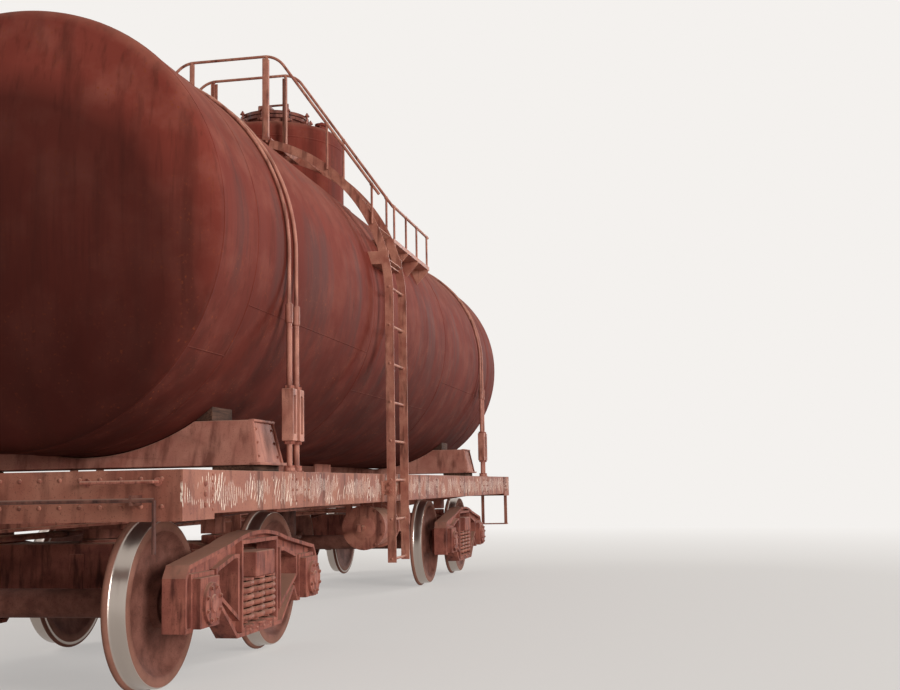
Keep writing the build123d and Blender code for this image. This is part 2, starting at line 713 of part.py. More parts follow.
def straps():
    axis = height(TANK_AXIS)
    reach = TANK_R + STRAP_BAR_R
    joint = height(STRAP_JOINT)
    low = height(TURNBUCKLE_Z)
    high = low + TURNBUCKLE_H
    bars, rods, buckles = [], [], []
    for x in (STRAP_X - STRAP_GAP / 2, STRAP_X + STRAP_GAP / 2):
        path = Line((x, -reach, joint), (x, -reach, axis))
        path += ThreePointArc((x, -reach, axis), (x, 0, axis + reach), (x, reach, axis))
        path += Line((x, reach, axis), (x, reach, joint))
        bar = tube_along(path, STRAP_BAR_R)
        bars.extend([bar, along(bar)])
        rod = rod_z(x, reach, high, joint, STRAP_ROD_R)
        rod += rod_z(x, reach, joint - SLEEVE_H, joint, SLEEVE_R)
        rod -= tank_bore(0, FRAME_HALF)
        tail = rod_z(x, reach, height(SILL_TOP), low, STRAP_ROD_R)
        tail += rod_z(x, reach, height(SILL_TOP), height(SILL_TOP) + ANCHOR_NUT_H, ANCHOR_NUT_R)
        rods.extend(both_ways(rod) + both_ways(tail))
        buckle = block(x - TURNBUCKLE_W / 2, x + TURNBUCKLE_W / 2, reach - TURNBUCKLE_D / 2,
                       reach + TURNBUCKLE_D / 2, low, high)
        buckle -= block(x - STRAP_ROD_R, x + STRAP_ROD_R, reach - TURNBUCKLE_D, reach + TURNBUCKLE_D,
                        low + TURNBUCKLE_BOSS, high - TURNBUCKLE_BOSS)
        buckles.extend(both_ways(buckle))
    save("straps", bars)
    save("strap_rods", rods)
    save("turnbuckles", buckles)


# Ladders, walkway and rails

def stile_y():
    return SILL_FACE + CORNER_T + STILE_GAP + STILE_W / 2


def arc_axis():
    return height(TANK_AXIS) + ARC_RISE


def stile(x):
    inner = stile_y() - STILE_W / 2
    outer = stile_y() + STILE_W / 2
    x0, x1 = x - STILE_T / 2, x + STILE_T / 2
    leg = block(x0, x1, inner, outer, height(LADDER_FOOT), arc_axis())
    ring = rod_x(x0, x1, 0, arc_axis(), outer) - rod_x(x0 - 1, x1 + 1, 0, arc_axis(), inner)
    turn = math.radians(ARC_END)
    far = 2 * outer
    sector = prism_x([(0, arc_axis()), (far, arc_axis()), (far, arc_axis() + far * math.tan(turn / 2)),
                      (far * math.cos(turn), arc_axis() + far * math.sin(turn))], x0 - 1, x1 + 1)
    post = leg + (ring & sector)
    sill_mid = height(SILL_TOP) - SILL_H / 2
    bracket_x = x1 if x > LADDER_X else x0 - BRACKET_T
    post += block(bracket_x, bracket_x + BRACKET_T, SILL_FACE, stile_y() + STILE_W / 4,
                  sill_mid - BRACKET_H / 2, sill_mid + BRACKET_H / 2)
    arm_z = height(TANK_AXIS) + ARM_RISE
    arm = block(x0, x1, TANK_R * 0.9, stile_y(), arm_z - ARM_H / 2, arm_z + ARM_H / 2)
    return post + (arm - tank_bore(x0 - 1, x1 + 1))


def ladders():
    left = LADDER_X - LADDER_HALF
    right = LADDER_X + LADDER_HALF
    shelf_z = height(TANK_AXIS) + ARM_RISE - ARM_H / 2
    shelf = block(left, right, TANK_R * 0.9, stile_y() - STILE_W / 4, shelf_z, shelf_z + BRACKET_T)
    shelf -= tank_bore(left - 1, right + 1)
    pair = stile(left) + stile(right) + shelf
    save("ladder_stiles", pair, across(pair))
    x0, x1 = left + STILE_T / 2, right - STILE_T / 2
    rungs = []
    for step in range(RUNG_COUNT):
        z = height(LADDER_FOOT) + RUNG_START + step * RUNG_PITCH
        rungs.append(rod_x(x0, x1, stile_y(), z, RUNG_R))
    for angle in TREAD_ANGLES:
        tread = block(x0, x1, stile_y() - TREAD_W / 2, stile_y() + TREAD_W / 2, -TREAD_T / 2, TREAD_T / 2)
        rungs.append(Pos(0, 0, arc_axis()) * Rot(angle, 0, 0) * tread)
    save("ladder_rungs", rungs, [across(rung) for rung in rungs])


def rail_edge():
    return stile_y() * math.cos(math.radians(ARC_END)) - 20


def walkway():
    top = arc_axis() + stile_y()
    edge = rail_edge() + 40
    left = LADDER_X - LADDER_HALF - STILE_T / 2
    right = LADDER_X + LADDER_HALF + STILE_T / 2
    plate = block(left, right, -edge, edge, top - DECK_T, top)
    inset = 40
    for y in (-edge / 2, edge / 2):
        plate += block(left + inset, right - inset, y - DECK_T / 2, y + DECK_T / 2, top - ARC_RISE - STILE_W * 2, top - 1)
    plate -= tank_bore(left - 1, right + 1)
    for x in (LADDER_X - LADDER_HALF, LADDER_X + LADDER_HALF):
        for side in (1, -1):
            post = stile(x)
            plate -= post if side == 1 else across(post)
    save("walkway", plate)


def handrails():
    edge = rail_edge()
    bend = edge + RAIL_BEND
    end_y, end_z = RAIL_END[0], height(RAIL_END[1])
    crest = height(RAIL_TOP)
    rails = []
    for side in (-1, 1):
        x = LADDER_X + side * (LADDER_HALF + STILE_T / 2 + RAIL_R)
        path = FilletPolyline((x, -end_y, end_z), (x, -bend, crest), (x, bend, crest), (x, end_y, end_z),
                              radius=RAIL_TURN)
        rail = tube_along(path, RAIL_R)
        for flank in (-1, 1):
            rail += rod_z(x, flank * edge, arc_axis() + stile_y() - 40, crest, POST_R)
            for share in STANCHIONS:
                y = bend + (end_y - bend) * share
                z = crest + (end_z - crest) * share
                root = arc_axis() + math.sqrt(stile_y() ** 2 - y ** 2)
                rail += rod_z(x, flank * y, root, z, POST_R)
        rails.append(rail)
    save("handrails", rails)


def footboards():
    left = LADDER_X + LADDER_HALF + STILE_T / 2 + 2 * RAIL_R + BOARD_GAP
    right = left + BOARD_L
    z = height(BOARD_Z)
    skin = math.sqrt(TANK_R ** 2 - (z - height(TANK_AXIS)) ** 2)
    out = skin + BOARD_W
    board = block(left, right, skin - 20, out, z - BOARD_T, z)
    rail_z = height(BOARD_RAIL_Z)
    board += rod_x(left, right, out - RAIL_R, rail_z, RAIL_R)
    low = z - BOARD_T
    for share in BOARD_POSTS:
        x = left + share * BOARD_L
        board += rod_z(x, out - RAIL_R, z - 4, rail_z, POST_R)
        brace = [(out, low), (out, low - 20), (skin, low - BRACE_DROP), (skin - 60, low - BRACE_DROP), (skin - 60, low)]
        board += prism_x(brace, x - BRACE_T / 2, x + BRACE_T / 2)
    board -= tank_bore(left - 1, right + 1)
    save("dome_footboards", board, across(board))


# Outlet, brakes and couplers

def outlet():
    low = height(OUTLET_BOTTOM)
    pipe = rod_z(0, 0, low, height(TANK_AXIS) - TANK_R + 30, OUTLET_R + OUTLET_WALL)
    pipe += rod_z(0, 0, low, low + OUTLET_FLANGE_T, OUTLET_FLANGE_R)
    pipe -= tank_bore(-2 * OUTLET_FLANGE_R, 2 * OUTLET_FLANGE_R)
    pipe -= rod_z(0, 0, low - 1, low + OUTLET_DEPTH, OUTLET_R)
    for number in range(OUTLET_HOLES):
        angle = 2 * math.pi * (number + 0.5) / OUTLET_HOLES
        x, y = OUTLET_CIRCLE_R * math.cos(angle), OUTLET_CIRCLE_R * math.sin(angle)
        pipe -= rod_z(x, y, low - 1, low + OUTLET_FLANGE_T + 1, OUTLET_HOLE_R)
    save("bottom_outlet", pipe)


def frame_hangers(x, reach, y, z, half_w):
    # Straps that carry a vessel, each on its own bar between the sills
    lug = height(SILL_TOP) - SILL_T
    hangers = []
    for side in (-1, 1):
        x0, x1 = x + side * reach - HANGER_T, x + side * reach + HANGER_T
        bar = block(x0, x1, CENTRE_HALF + CENTRE_T, SILL_FACE - SILL_T, lug - BEARER_W, lug)
        strap = block(x0, x1, y - half_w, y + half_w, z, lug)
        hangers.append(strap + (bar if y > 0 else across(bar)))
    return hangers


def brakes():
    x, y, z = CYLINDER_AT[0], -CYLINDER_AT[1], height(CYLINDER_AT[2])
    half = CYLINDER_L / 2
    cylinder = rod_x(x - half, x + half, y, z, CYLINDER_R)
    for end in (-1, 1):
        cylinder += rod_x(x + end * half - CYLINDER_RIM / 2, x + end * half + CYLINDER_RIM / 2, y, z, CYLINDER_R + CYLINDER_RIM)
    for hanger in frame_hangers(x, 0.3 * CYLINDER_L, y, z, 60):
        cylinder += hanger
    save("brake_cylinder", cylinder)
    x, y, z = RESERVOIR_AT[0], RESERVOIR_AT[1], height(RESERVOIR_AT[2])
    vessel = rod_x(x - RESERVOIR_L / 2, x + RESERVOIR_L / 2, y, z, RESERVOIR_R)
    for hanger in frame_hangers(x, 0.3 * RESERVOIR_L, y, z, 50):
        vessel += hanger
    save("air_reservoir", vessel)
    x, y, z = DISTRIBUTOR_AT[0], -DISTRIBUTOR_AT[1], height(DISTRIBUTOR_AT[2])
    deep, wide, tall = DISTRIBUTOR
    valve = block(x - deep / 2, x + deep / 2, y - wide / 2, y + wide / 2, z - tall / 2, z + tall / 2)
    valve += rod_y(x, y - wide / 2 - VALVE_HORN, y + wide / 2 + VALVE_HORN, z, tall / 3)
    for hanger in frame_hangers(x, 0.25 * deep, y, z, 40):
        valve += hanger
    save("distributor_valve", valve)
    y, z = -ROD_AT[0], height(ROD_AT[1])
    start, end = ROD_ENDS
    rod = rod_x(start, end, y, z, ROD_R)
    for hang_x in (start + 80, end - 80):
        rod += block(hang_x - HANGER_T / 2, hang_x + HANGER_T / 2, y - HANGER_T, y + HANGER_T, z, height(SILL_TOP) - CENTRE_H)
        rod += block(hang_x - HANGER_T / 2, hang_x + HANGER_T / 2, y - HANGER_T, -CENTRE_HALF - CENTRE_T,
                     height(SILL_TOP) - CENTRE_H + CENTRE_T, height(SILL_TOP) - CENTRE_H + 2 * CENTRE_T)
        rod += block(hang_x - HANGER_T / 2, hang_x + HANGER_T / 2, y - HANGER_T, -CENTRE_HALF - CENTRE_FLANGE,
                     z, height(SILL_TOP) - CENTRE_H + 2 * CENTRE_T)
    save("brake_rods", rod, along(rod))


def train_pipe():
    y, z = PIPE_AT[0], height(PIPE_AT[1])
    end = FRAME_HALF + PIPE_OVERHANG
    pipe = rod_x(-end, end, y, z, PIPE_R)
    for side in (-1, 1):
        pipe += rod_x(side * (end - 30), side * (end + 40), y, z, COCK_R)
        pipe += rod_z(side * (end + 10), y, z, z + 90, PIPE_R / 2)
    save("train_pipe", pipe)


def couplers():
    z = height(COUPLER_HEIGHT)
    reach = FRAME_HALF + COUPLER_OVERHANG
    tail = block(FRAME_HALF - COUPLER_TAIL, reach - CLAW[0][0] + COUPLER_LAP, -COUPLER_HALF_W, COUPLER_HALF_W,
                 z - COUPLER_HALF_H, z + COUPLER_HALF_H)
    outline = [(reach - behind, y) for behind, y in CLAW]
    head = Pos(0, 0, z - COUPLER_FACE_H / 2) * extrude(make_face(Polyline(*outline, close=True)), COUPLER_FACE_H)
    front = tail + head
    save("couplers", front, Rot(0, 0, 180) * front)
    x = FRAME_HALF + STRIKER_T + LEVER_ROD_OUT
    rod_z_at = height(SILL_TOP) - LEVER_ROD_DROP
    y0, y1 = CENTRE_HALF + STRIKER_W + COUPLER_LAP, SILL_FACE - LEVER_INSET
    rod = rod_y(x, y0, y1, rod_z_at, LEVER_ROD_R)
    rod += rod_z(x, y1, rod_z_at - LEVER_HANDLE, rod_z_at, LEVER_ROD_R * 0.95)
    for y in (y0 + 60, y1 - 120):
        rod += block(FRAME_HALF, x + LEVER_ROD_R, y - 6, y + 6, rod_z_at - 25, rod_z_at + 25)
    save("uncoupling_levers", rod, Rot(0, 0, 180) * rod)


def build():
    tank()
    dome()
    tank_anchors()
    saddles()
    straps()
    ladders()
    walkway()
    handrails()
    footboards()
    centre_sill()
    side_sills()
    end_beams()
    body_bolsters()
    cross_bearers()
    outlet()
    brakes()
    train_pipe()
    couplers()
    for name, end in (("near", -1), ("far", 1)):
        bogie(name, end * BOGIE_X)
    half_base = WHEELBASE / 2
    centres = [end * BOGIE_X + side * half_base for end in (-1, 1) for side in (-1, 1)]
    for number, centre in enumerate(centres, start=1):
        wheelset(number, centre)


build()
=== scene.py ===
# %% [markdown]
# # A weathered railway tank car
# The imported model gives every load-bearing piece at its real size. This lesson dresses it: it gives
# each piece the finish of a real one and adds the small hardware that a drawing leaves to the
# workshop, such as bolts, threads, weld beads and coil springs. The frame is loaded first, because
# every later piece is placed from the boxes of the model's own nodes and never from guesswork.

# %% Load the fixed frame
import math

import bmesh
import bpy
from mathutils import Matrix, Vector
from mathutils.bvhtree import BVHTree


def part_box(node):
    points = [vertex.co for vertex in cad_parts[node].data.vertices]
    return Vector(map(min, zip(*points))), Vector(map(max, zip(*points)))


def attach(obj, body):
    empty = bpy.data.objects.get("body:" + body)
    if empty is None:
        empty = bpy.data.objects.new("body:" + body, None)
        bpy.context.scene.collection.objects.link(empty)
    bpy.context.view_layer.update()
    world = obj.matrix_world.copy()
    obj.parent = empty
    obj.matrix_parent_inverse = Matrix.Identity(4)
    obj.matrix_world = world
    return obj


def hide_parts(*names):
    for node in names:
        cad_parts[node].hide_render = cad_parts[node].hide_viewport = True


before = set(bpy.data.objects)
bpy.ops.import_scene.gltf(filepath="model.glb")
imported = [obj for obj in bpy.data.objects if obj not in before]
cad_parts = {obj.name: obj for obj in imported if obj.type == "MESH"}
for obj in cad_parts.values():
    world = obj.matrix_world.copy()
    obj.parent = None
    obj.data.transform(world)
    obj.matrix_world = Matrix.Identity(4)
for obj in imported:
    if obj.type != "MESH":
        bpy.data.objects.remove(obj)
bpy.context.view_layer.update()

# %% [markdown]
# ## Measures that the pieces share
# All lengths are in metres. The named places below are read back from the model's boxes, so a change
# of the model moves the hardware with it. Only sizes that the boxes can't tell are written here.

# %% Places read from the frame
MM = 0.001


def span(node):
    low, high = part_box(node)
    return low, high, (low + high) / 2


barrel_low, barrel_high, barrel_mid = span("tank_barrel")
TANK_R = (barrel_high.y - barrel_low.y) / 2
TANK_Z = barrel_mid.z
sill_low, sill_high, sill_mid = span("side_sills")
SILL_FACE = sill_high.y
rods_high = span("strap_rods")[1]
ROD_NUT_R, ROD_PITCH = 34 * MM, 140 * MM
STRAP_Y = rods_high.y - ROD_NUT_R
STRAP_X = (rods_high.x - ROD_NUT_R - ROD_PITCH, rods_high.x - ROD_NUT_R)
SIDES = (-1, 1)
AXLE_Z = span("axle_1")[2].z
WHEEL_X = [span(f"wheels_{number}")[2].x for number in (1, 2, 3, 4)]
BOGIES = {"near": (WHEEL_X[0] + WHEEL_X[1]) / 2, "far": (WHEEL_X[2] + WHEEL_X[3]) / 2}
print("tank radius", round(TANK_R, 3), "axis height", round(TANK_Z, 3), "bogies at", BOGIES)

# %% [markdown]
# ## The camera
# The camera stands at waist height off the near end of the car, on the ladder's side, and looks up
# along it with a normal lens. The place and the angles come from fitting the sill, the wheels and the
# tank's rim to the photograph. Its direction is built from three plain turns: heading, tilt, roll.

# %% Camera
CAMERA_AT = Vector((-10.872, -3.814, 1.141))
HEADING, TILT, ROLL = 10.763, 6.169, -1.059
LENS_MM, SENSOR_MM = 47.12, 36.0
SHIFT = (-0.0116, 0.0144)
FAR_CLIP = 500.0

camera_data = bpy.data.cameras.new("camera")
camera_data.lens = LENS_MM
camera_data.sensor_width = SENSOR_MM
camera_data.shift_x, camera_data.shift_y = SHIFT
camera_data.clip_end = FAR_CLIP
camera = bpy.data.objects.new("camera", camera_data)
turn = Matrix.Rotation(math.radians(HEADING - 90), 4, "Z")
turn = turn @ Matrix.Rotation(math.radians(90 + TILT), 4, "X") @ Matrix.Rotation(math.radians(ROLL), 4, "Z")
camera.matrix_world = Matrix.Translation(CAMERA_AT) @ turn
bpy.context.scene.collection.objects.link(camera)
bpy.context.scene.camera = camera
bpy.context.scene.view_settings.view_transform = "Standard"
print("camera", tuple(round(v, 3) for v in camera.location))

# %% [markdown]
# ## Colours and nodes
# Colours are picked as screen colours, so one function turns them into the linear values that the
# shader wants. A second small function adds any node with its settings and links in one call.

# %% Helpers for materials
DUSTY_SPECULAR = 0.18


def linear(code):
    values = [int(code[place:place + 2], 16) / 255 for place in (1, 3, 5)]
    line = [v / 12.92 if v <= 0.04045 else ((v + 0.055) / 1.055) ** 2.4 for v in values]
    return (*line, 1.0)


def add(tree, kind, inputs=None, output=0, **settings):
    # An input is a link, a number or a screen colour, and what comes back is one of the outputs
    made = tree.nodes.new(kind)
    for name, value in settings.items():
        setattr(made, name, value)
    for socket, value in (inputs or {}).items():
        if isinstance(value, bpy.types.NodeSocket):
            tree.links.new(value, made.inputs[socket])
        else:
            made.inputs[socket].default_value = linear(value) if isinstance(value, str) else value
    return made.outputs[output]


def blank(name):
    made = bpy.data.materials.new(name)
    made.use_nodes = True
    tree = made.node_tree
    shader = tree.nodes["Principled BSDF"]
    shader.inputs["Specular IOR Level"].default_value = DUSTY_SPECULAR
    return made, tree, shader, add(tree, "ShaderNodeTexCoord", output="Object")


# %% [markdown]
# Every weathered finish is built from the same ingredients: a noise at a real size, a mask made of one
# or more ranges of such noises, and a colour laid over another through that mask. The size of a noise
# is the size of its blobs in millimetres, so each scale is one over that size in metres.

# %% Helpers for patterns
NOISE_ROUGHNESS = 0.55


def noise(tree, place, size_mm, stretch=(1, 1, 1), detail=4.0, shift=0.0):
    moved = add(tree, "ShaderNodeMapping",
                {"Vector": place, "Scale": stretch, "Location": (shift, shift, shift)})
    return add(tree, "ShaderNodeTexNoise", {"Vector": moved, "Scale": 1 / (size_mm * MM), "Detail": detail,
                                            "Roughness": NOISE_ROUGHNESS})


def mask(tree, *factors):
    # The product of its factors: each is a number, a mask, or a pattern with the two values of it that
    # become 0 and 1, or that become the two values after them
    product = None
    for factor in factors:
        if isinstance(factor, tuple):
            factor = add(tree, "ShaderNodeMapRange", dict(enumerate(factor)), clamp=True)
        if product is not None:
            factor = add(tree, "ShaderNodeMath", {0: product, 1: factor}, operation="MULTIPLY")
        product = factor
    return product


def layer(tree, below, over, *factors):
    # Inputs 6 and 7 of the mix node are its two colours, and output 2 is the mixed colour
    return add(tree, "ShaderNodeMix", {0: mask(tree, *factors), 6: below, 7: over}, 2, data_type="RGBA")


def grain(tree, shader, *layers):
    # Each layer is a height pattern, its depth in millimetres and its strength
    for number, (height, depth_mm, strength) in enumerate(layers):
        inputs = {"Height": height, "Distance": depth_mm * MM, "Strength": strength}
        last = add(tree, "ShaderNodeBump", inputs | ({"Normal": last} if number else {}))
    tree.links.new(last, shader.inputs["Normal"])


def facing_up(tree, low, high):
    normal = add(tree, "ShaderNodeTexCoord", output="Normal")
    return mask(tree, (add(tree, "ShaderNodeSeparateXYZ", {0: normal}, "Z"), low, high))


def from_axis(tree, place, centre, keep):
    # The distance from an axis, with the axis's own direction left out of what is kept
    moved = add(tree, "ShaderNodeMapping", {"Vector": place, "Location": centre})
    flat = add(tree, "ShaderNodeVectorMath", {0: moved, 1: keep}, operation="MULTIPLY")
    return add(tree, "ShaderNodeVectorMath", {0: flat}, "Value", operation="LENGTH")


# %% [markdown]
# ## Oxide oil paint on the tank
# The shell is rolled mild steel under an old oxide-brown oil paint. Years of spilled product leave
# dark runs down the flanks, dust lies on everything that faces up, and thin rust blooms where the
# paint has gone. The lower flank is darker from oil stains and from painted shade, and the dished
# ends carry a painted shadow, dark but for a crescent at the top. Stretching a noise along Z makes
# the runs, because gravity does the same.

# %% Tank paint
CHALKY_SPECULAR = 0.08
# Heights between which the lower flank darkens, partly from oil stains and partly as painted shade
OIL_AND_SHADE_LOW, OIL_AND_SHADE_HIGH = TANK_Z - 0.75 * TANK_R, TANK_Z + 0.30 * TANK_R
# Radius, drop, soft edge and wander of the painted shadow on the dished ends
HEAD_SHADOW_R, HEAD_SHADOW_DROP, HEAD_SHADOW_EDGE, HEAD_SHADOW_WANDER = 1240 * MM, 270 * MM, 210 * MM, 45 * MM
HEAD_BLEND = 20 * MM


def painted_head_shadow(tree, place, broad):
    # Painted shadow on the dished ends: dark all over them but for a crescent at the top, with a wandering
    # soft edge
    radius = from_axis(tree, place, (0, 0, HEAD_SHADOW_DROP - TANK_Z), (0, 1, 1))
    wander = mask(tree, (broad, 0.36, 0.64, -HEAD_SHADOW_WANDER, HEAD_SHADOW_WANDER))
    edge = add(tree, "ShaderNodeMath", {0: radius, 1: wander}, operation="ADD")
    along = add(tree, "ShaderNodeSeparateXYZ", {0: place}, "X")
    along = add(tree, "ShaderNodeMath", {0: along}, operation="ABSOLUTE")
    return mask(tree, (edge, HEAD_SHADOW_R - HEAD_SHADOW_EDGE, HEAD_SHADOW_R, 0.66, 0.0),
                (along, barrel_high.x, barrel_high.x + HEAD_BLEND))


def tank_paint():
    made, tree, shader, place = blank("oxide_oil_paint")
    broad = noise(tree, place, 1400, detail=3)
    patch = noise(tree, place, 260, detail=6, shift=3)
    speck = noise(tree, place, 22, detail=5, shift=7)
    runs = noise(tree, place, 150, stretch=(1, 1, 0.07), detail=5, shift=11)
    fine_runs = noise(tree, place, 34, stretch=(1, 1, 0.05), detail=4, shift=17)
    stains = noise(tree, place, 420, stretch=(1, 1, 0.3), detail=5, shift=21)
    level = add(tree, "ShaderNodeSeparateXYZ", {0: place}, "Z")
    colour = layer(tree, "#6c2e25", "#7a382e", (broad, 0.36, 0.64))
    colour = layer(tree, colour, "#8e5145", (patch, 0.46, 0.76), 0.65)
    # Darker towards the bottom: oil stains and painted shade of the lower flank
    colour = layer(tree, colour, "#36140f", (level, OIL_AND_SHADE_LOW, OIL_AND_SHADE_HIGH, 0.80, 0.0),
                   (stains, 0.30, 0.62, 0.55, 1.0))
    colour = layer(tree, colour, "#421d16", (runs, 0.50, 0.68), 0.55)
    colour = layer(tree, colour, "#4c241c", (fine_runs, 0.54, 0.72), 0.45)
    colour = layer(tree, colour, "#7d3c25", (speck, 0.60, 0.70), (patch, 0.45, 0.60))
    # Painted shadow over the dished ends, all but a crescent at the top
    colour = layer(tree, colour, "#2e110d", painted_head_shadow(tree, place, broad))
    dust = mask(tree, facing_up(tree, 0.30, 0.98), (patch, 0.25, 0.62, 0.20, 0.65))
    colour = layer(tree, colour, "#9d6654", dust)
    tree.links.new(colour, shader.inputs["Base Color"])
    shader.inputs["Specular IOR Level"].default_value = CHALKY_SPECULAR
    dull = mask(tree, (runs, 0.45, 0.66, 0.85, 0.72))
    dull = add(tree, "ShaderNodeMath", {0: dull, 1: dust}, operation="MAXIMUM")
    tree.links.new(dull, shader.inputs["Roughness"])
    grain(tree, shader, (broad, 14, 0.35), (patch, 2.2, 0.35), (speck, 0.5, 0.30))
    return made


# %% [markdown]
# ## Frame paint, cast steel and the other finishes
# The underframe wears the same brown, rougher and rustier, because brake dust and grit reach it. Bogie
# castings are bare sand-cast steel: pitted, dull, dusty on top and greasy in the hollows. One function
# makes this family, since only the colours and the sizes of the patches differ.

# %% Weathered steel family
def weathered(name, base, light, dark, dust, patch_mm=160, pit_mm=7, rough=0.72, dust_share=0.8):
    made, tree, shader, place = blank(name)
    patch = noise(tree, place, patch_mm, detail=6)
    pits = noise(tree, place, pit_mm, detail=4, shift=5)
    runs = noise(tree, place, patch_mm * 0.4, stretch=(1, 1, 0.18), detail=5, shift=9)
    colour = layer(tree, base, light, (patch, 0.36, 0.64))
    colour = layer(tree, colour, dark, (runs, 0.50, 0.68), 0.8)
    colour = layer(tree, colour, dark, (pits, 0.58, 0.70), 0.6)
    colour = layer(tree, colour, dust, facing_up(tree, 0.30, 0.90), dust_share)
    tree.links.new(colour, shader.inputs["Base Color"])
    tree.links.new(mask(tree, (patch, 0.3, 0.7, rough - 0.14, rough + 0.12)), shader.inputs["Roughness"])
    grain(tree, shader, (patch, 1.6, 0.3), (pits, 0.7, 0.45))
    return made


# %% [markdown]
# The side sill gets the same paint and something of its own: chalk marks that tell how the car is to
# run. The marks here are unreadable strokes. A wave pattern bent by a noise gives slanted strokes, a
# second noise lets them come and go along the sill, and a band in Z keeps them off its edges.

# %% Sill paint with chalk
CHALK_PITCH_MM = 27.0
# Bands that a wave texture draws in one unit at a scale of 1
WAVES_PER_UNIT = 3.2
CHALK_LOW, CHALK_HIGH, CHALK_FADE = 30 * MM, 105 * MM, 8 * MM
# Lean in degrees, pitch, bend, shift of the pattern, and the share of the sill that stays bare
CHALK_HANDS = ((5, 1.0, 4.0, 0.0, 0.44), (-24, 1.6, 6.0, 3.7, 0.54))


def chalked(made):
    tree = made.node_tree
    shader = tree.nodes["Principled BSDF"]
    place = add(tree, "ShaderNodeTexCoord", output="Object")
    old = shader.inputs["Base Color"].links[0].from_socket
    hands = []
    for lean, pitch, bend, shift, share in CHALK_HANDS:
        slanted = add(tree, "ShaderNodeMapping", {"Vector": place, "Location": (shift, 0, shift),
                                                  "Rotation": (0, math.radians(lean), 0)})
        strokes = add(tree, "ShaderNodeTexWave",
                      {"Vector": slanted, "Scale": 1 / (CHALK_PITCH_MM * pitch * MM * WAVES_PER_UNIT),
                       "Distortion": bend, "Detail": 2.0, "Detail Scale": 0.9, "Detail Roughness": 0.6},
                      "Fac", wave_type="BANDS", bands_direction="X")
        groups = noise(tree, place, 190, stretch=(1, 0.1, 0.9), detail=1, shift=2.3 + shift)
        hands.append(mask(tree, (strokes, 0.86, 0.97), (groups, share, share + 0.04)))
    both = add(tree, "ShaderNodeMath", {0: hands[0], 1: hands[1]}, operation="MAXIMUM")
    crumbs = noise(tree, place, 6, detail=3)
    level, across = [add(tree, "ShaderNodeSeparateXYZ", {0: place}, axis) for axis in "ZY"]
    flank = add(tree, "ShaderNodeMath", {0: across}, operation="ABSOLUTE")
    off = add(tree, "ShaderNodeMath", {0: level, 1: sill_mid.z}, operation="SUBTRACT")
    away = add(tree, "ShaderNodeMath", {0: off}, operation="ABSOLUTE")
    heights = noise(tree, place, 45, stretch=(1, 0.1, 0.1), detail=2, shift=6)
    reach = mask(tree, (heights, 0.34, 0.62, CHALK_LOW, CHALK_HIGH))
    past = add(tree, "ShaderNodeMath", {0: away, 1: reach}, operation="SUBTRACT")
    chalk = mask(tree, both, (flank, SILL_FACE - 3 * MM, SILL_FACE - 1 * MM), (crumbs, 0.28, 0.46),
                 (past, -CHALK_FADE, 0.0, 1.0, 0.0))
    tree.links.new(layer(tree, old, "#ecd9c8", chalk), shader.inputs["Base Color"])
    return made


# %% [markdown]
# The packing under the tank is sawn softwood soaked in creosote. Grain runs along the baulk, so the
# noise is stretched along X, and a darker band stands for each late-wood ring.

# %% Creosoted timber
def timber():
    made, tree, shader, place = blank("creosoted_pine")
    rings = noise(tree, place, 12, stretch=(0.06, 1, 1), detail=5)
    stain = noise(tree, place, 180, detail=4, shift=4)
    colour = layer(tree, "#3a261d", "#5c4033", (rings, 0.40, 0.60))
    colour = layer(tree, colour, "#38251d", (stain, 0.45, 0.62), 0.7)
    tree.links.new(colour, shader.inputs["Base Color"])
    shader.inputs["Roughness"].default_value = 0.86
    grain(tree, shader, (rings, 1.2, 0.6), (stain, 3.0, 0.3))
    return made


# %% [markdown]
# A rolled steel wheel is rusty brown on its web, but running keeps its tread as bright as cutlery. The
# distance from the axle picks the zone, so a Mapping node moves the centre of the pattern onto the
# wheel. Only the narrow running band turns metallic.

# %% Rolled wheel steel
RIM_FROM, RIM_TO = 400 * MM, 440 * MM
TREAD_FROM, TREAD_TO = 463 * MM, 480 * MM


def wheel_steel(number, centre_x):
    made, tree, shader, place = blank(f"rolled_wheel_steel_{number}")
    radius = from_axis(tree, place, (-centre_x, 0, -AXLE_Z), (1, 0, 1))
    patch = noise(tree, place, 120, detail=6)
    pits = noise(tree, place, 8, detail=4, shift=2)
    colour = layer(tree, "#5e382e", "#7d5044", (patch, 0.38, 0.62))
    colour = layer(tree, colour, "#33201b", (pits, 0.55, 0.70), 0.6)
    colour = layer(tree, colour, "#8d6252", (radius, RIM_FROM, RIM_TO), 0.55)
    tread = mask(tree, (radius, TREAD_FROM, TREAD_FROM + 3 * MM),
                 (radius, TREAD_TO, TREAD_TO + 6 * MM, 1.0, 0.0))
    colour = layer(tree, colour, "#b5a9a0", tread)
    tree.links.new(colour, shader.inputs["Base Color"])
    tree.links.new(mask(tree, tread, 0.95), shader.inputs["Metallic"])
    tree.links.new(mask(tree, (tread, 0, 1, 0.74, 0.28)), shader.inputs["Roughness"])
    grain(tree, shader, (patch, 0.8, 0.25), (pits, 0.5, 0.35))
    return made


# %% [markdown]
# ## Giving each node its finish
# The frame's own meshes keep their shape. Assigning to the material slots of their objects is enough,
# and one table from name beginnings to finishes covers every node.

# %% Make the materials
# Old oil paint on rolled plate: chalky, streaked with spilled product
PAINT = tank_paint()
# Oxide paint gone to rust: dull and patchy, with chalk on the sills and more dust on the saddles
FRAME_PAINT = weathered("rusted_frame_paint", "#8a5245", "#a56c5a", "#4a2620", "#b08a74")
SILL_PAINT = chalked(weathered("chalked_frame_paint", "#885142", "#9f6a58", "#4f2a22", "#b08a74", 240, 9))
SADDLE_PAINT = weathered("dusty_saddle_paint", "#9c6153", "#b47c6b", "#663a30", "#bb917c", 200, 8)
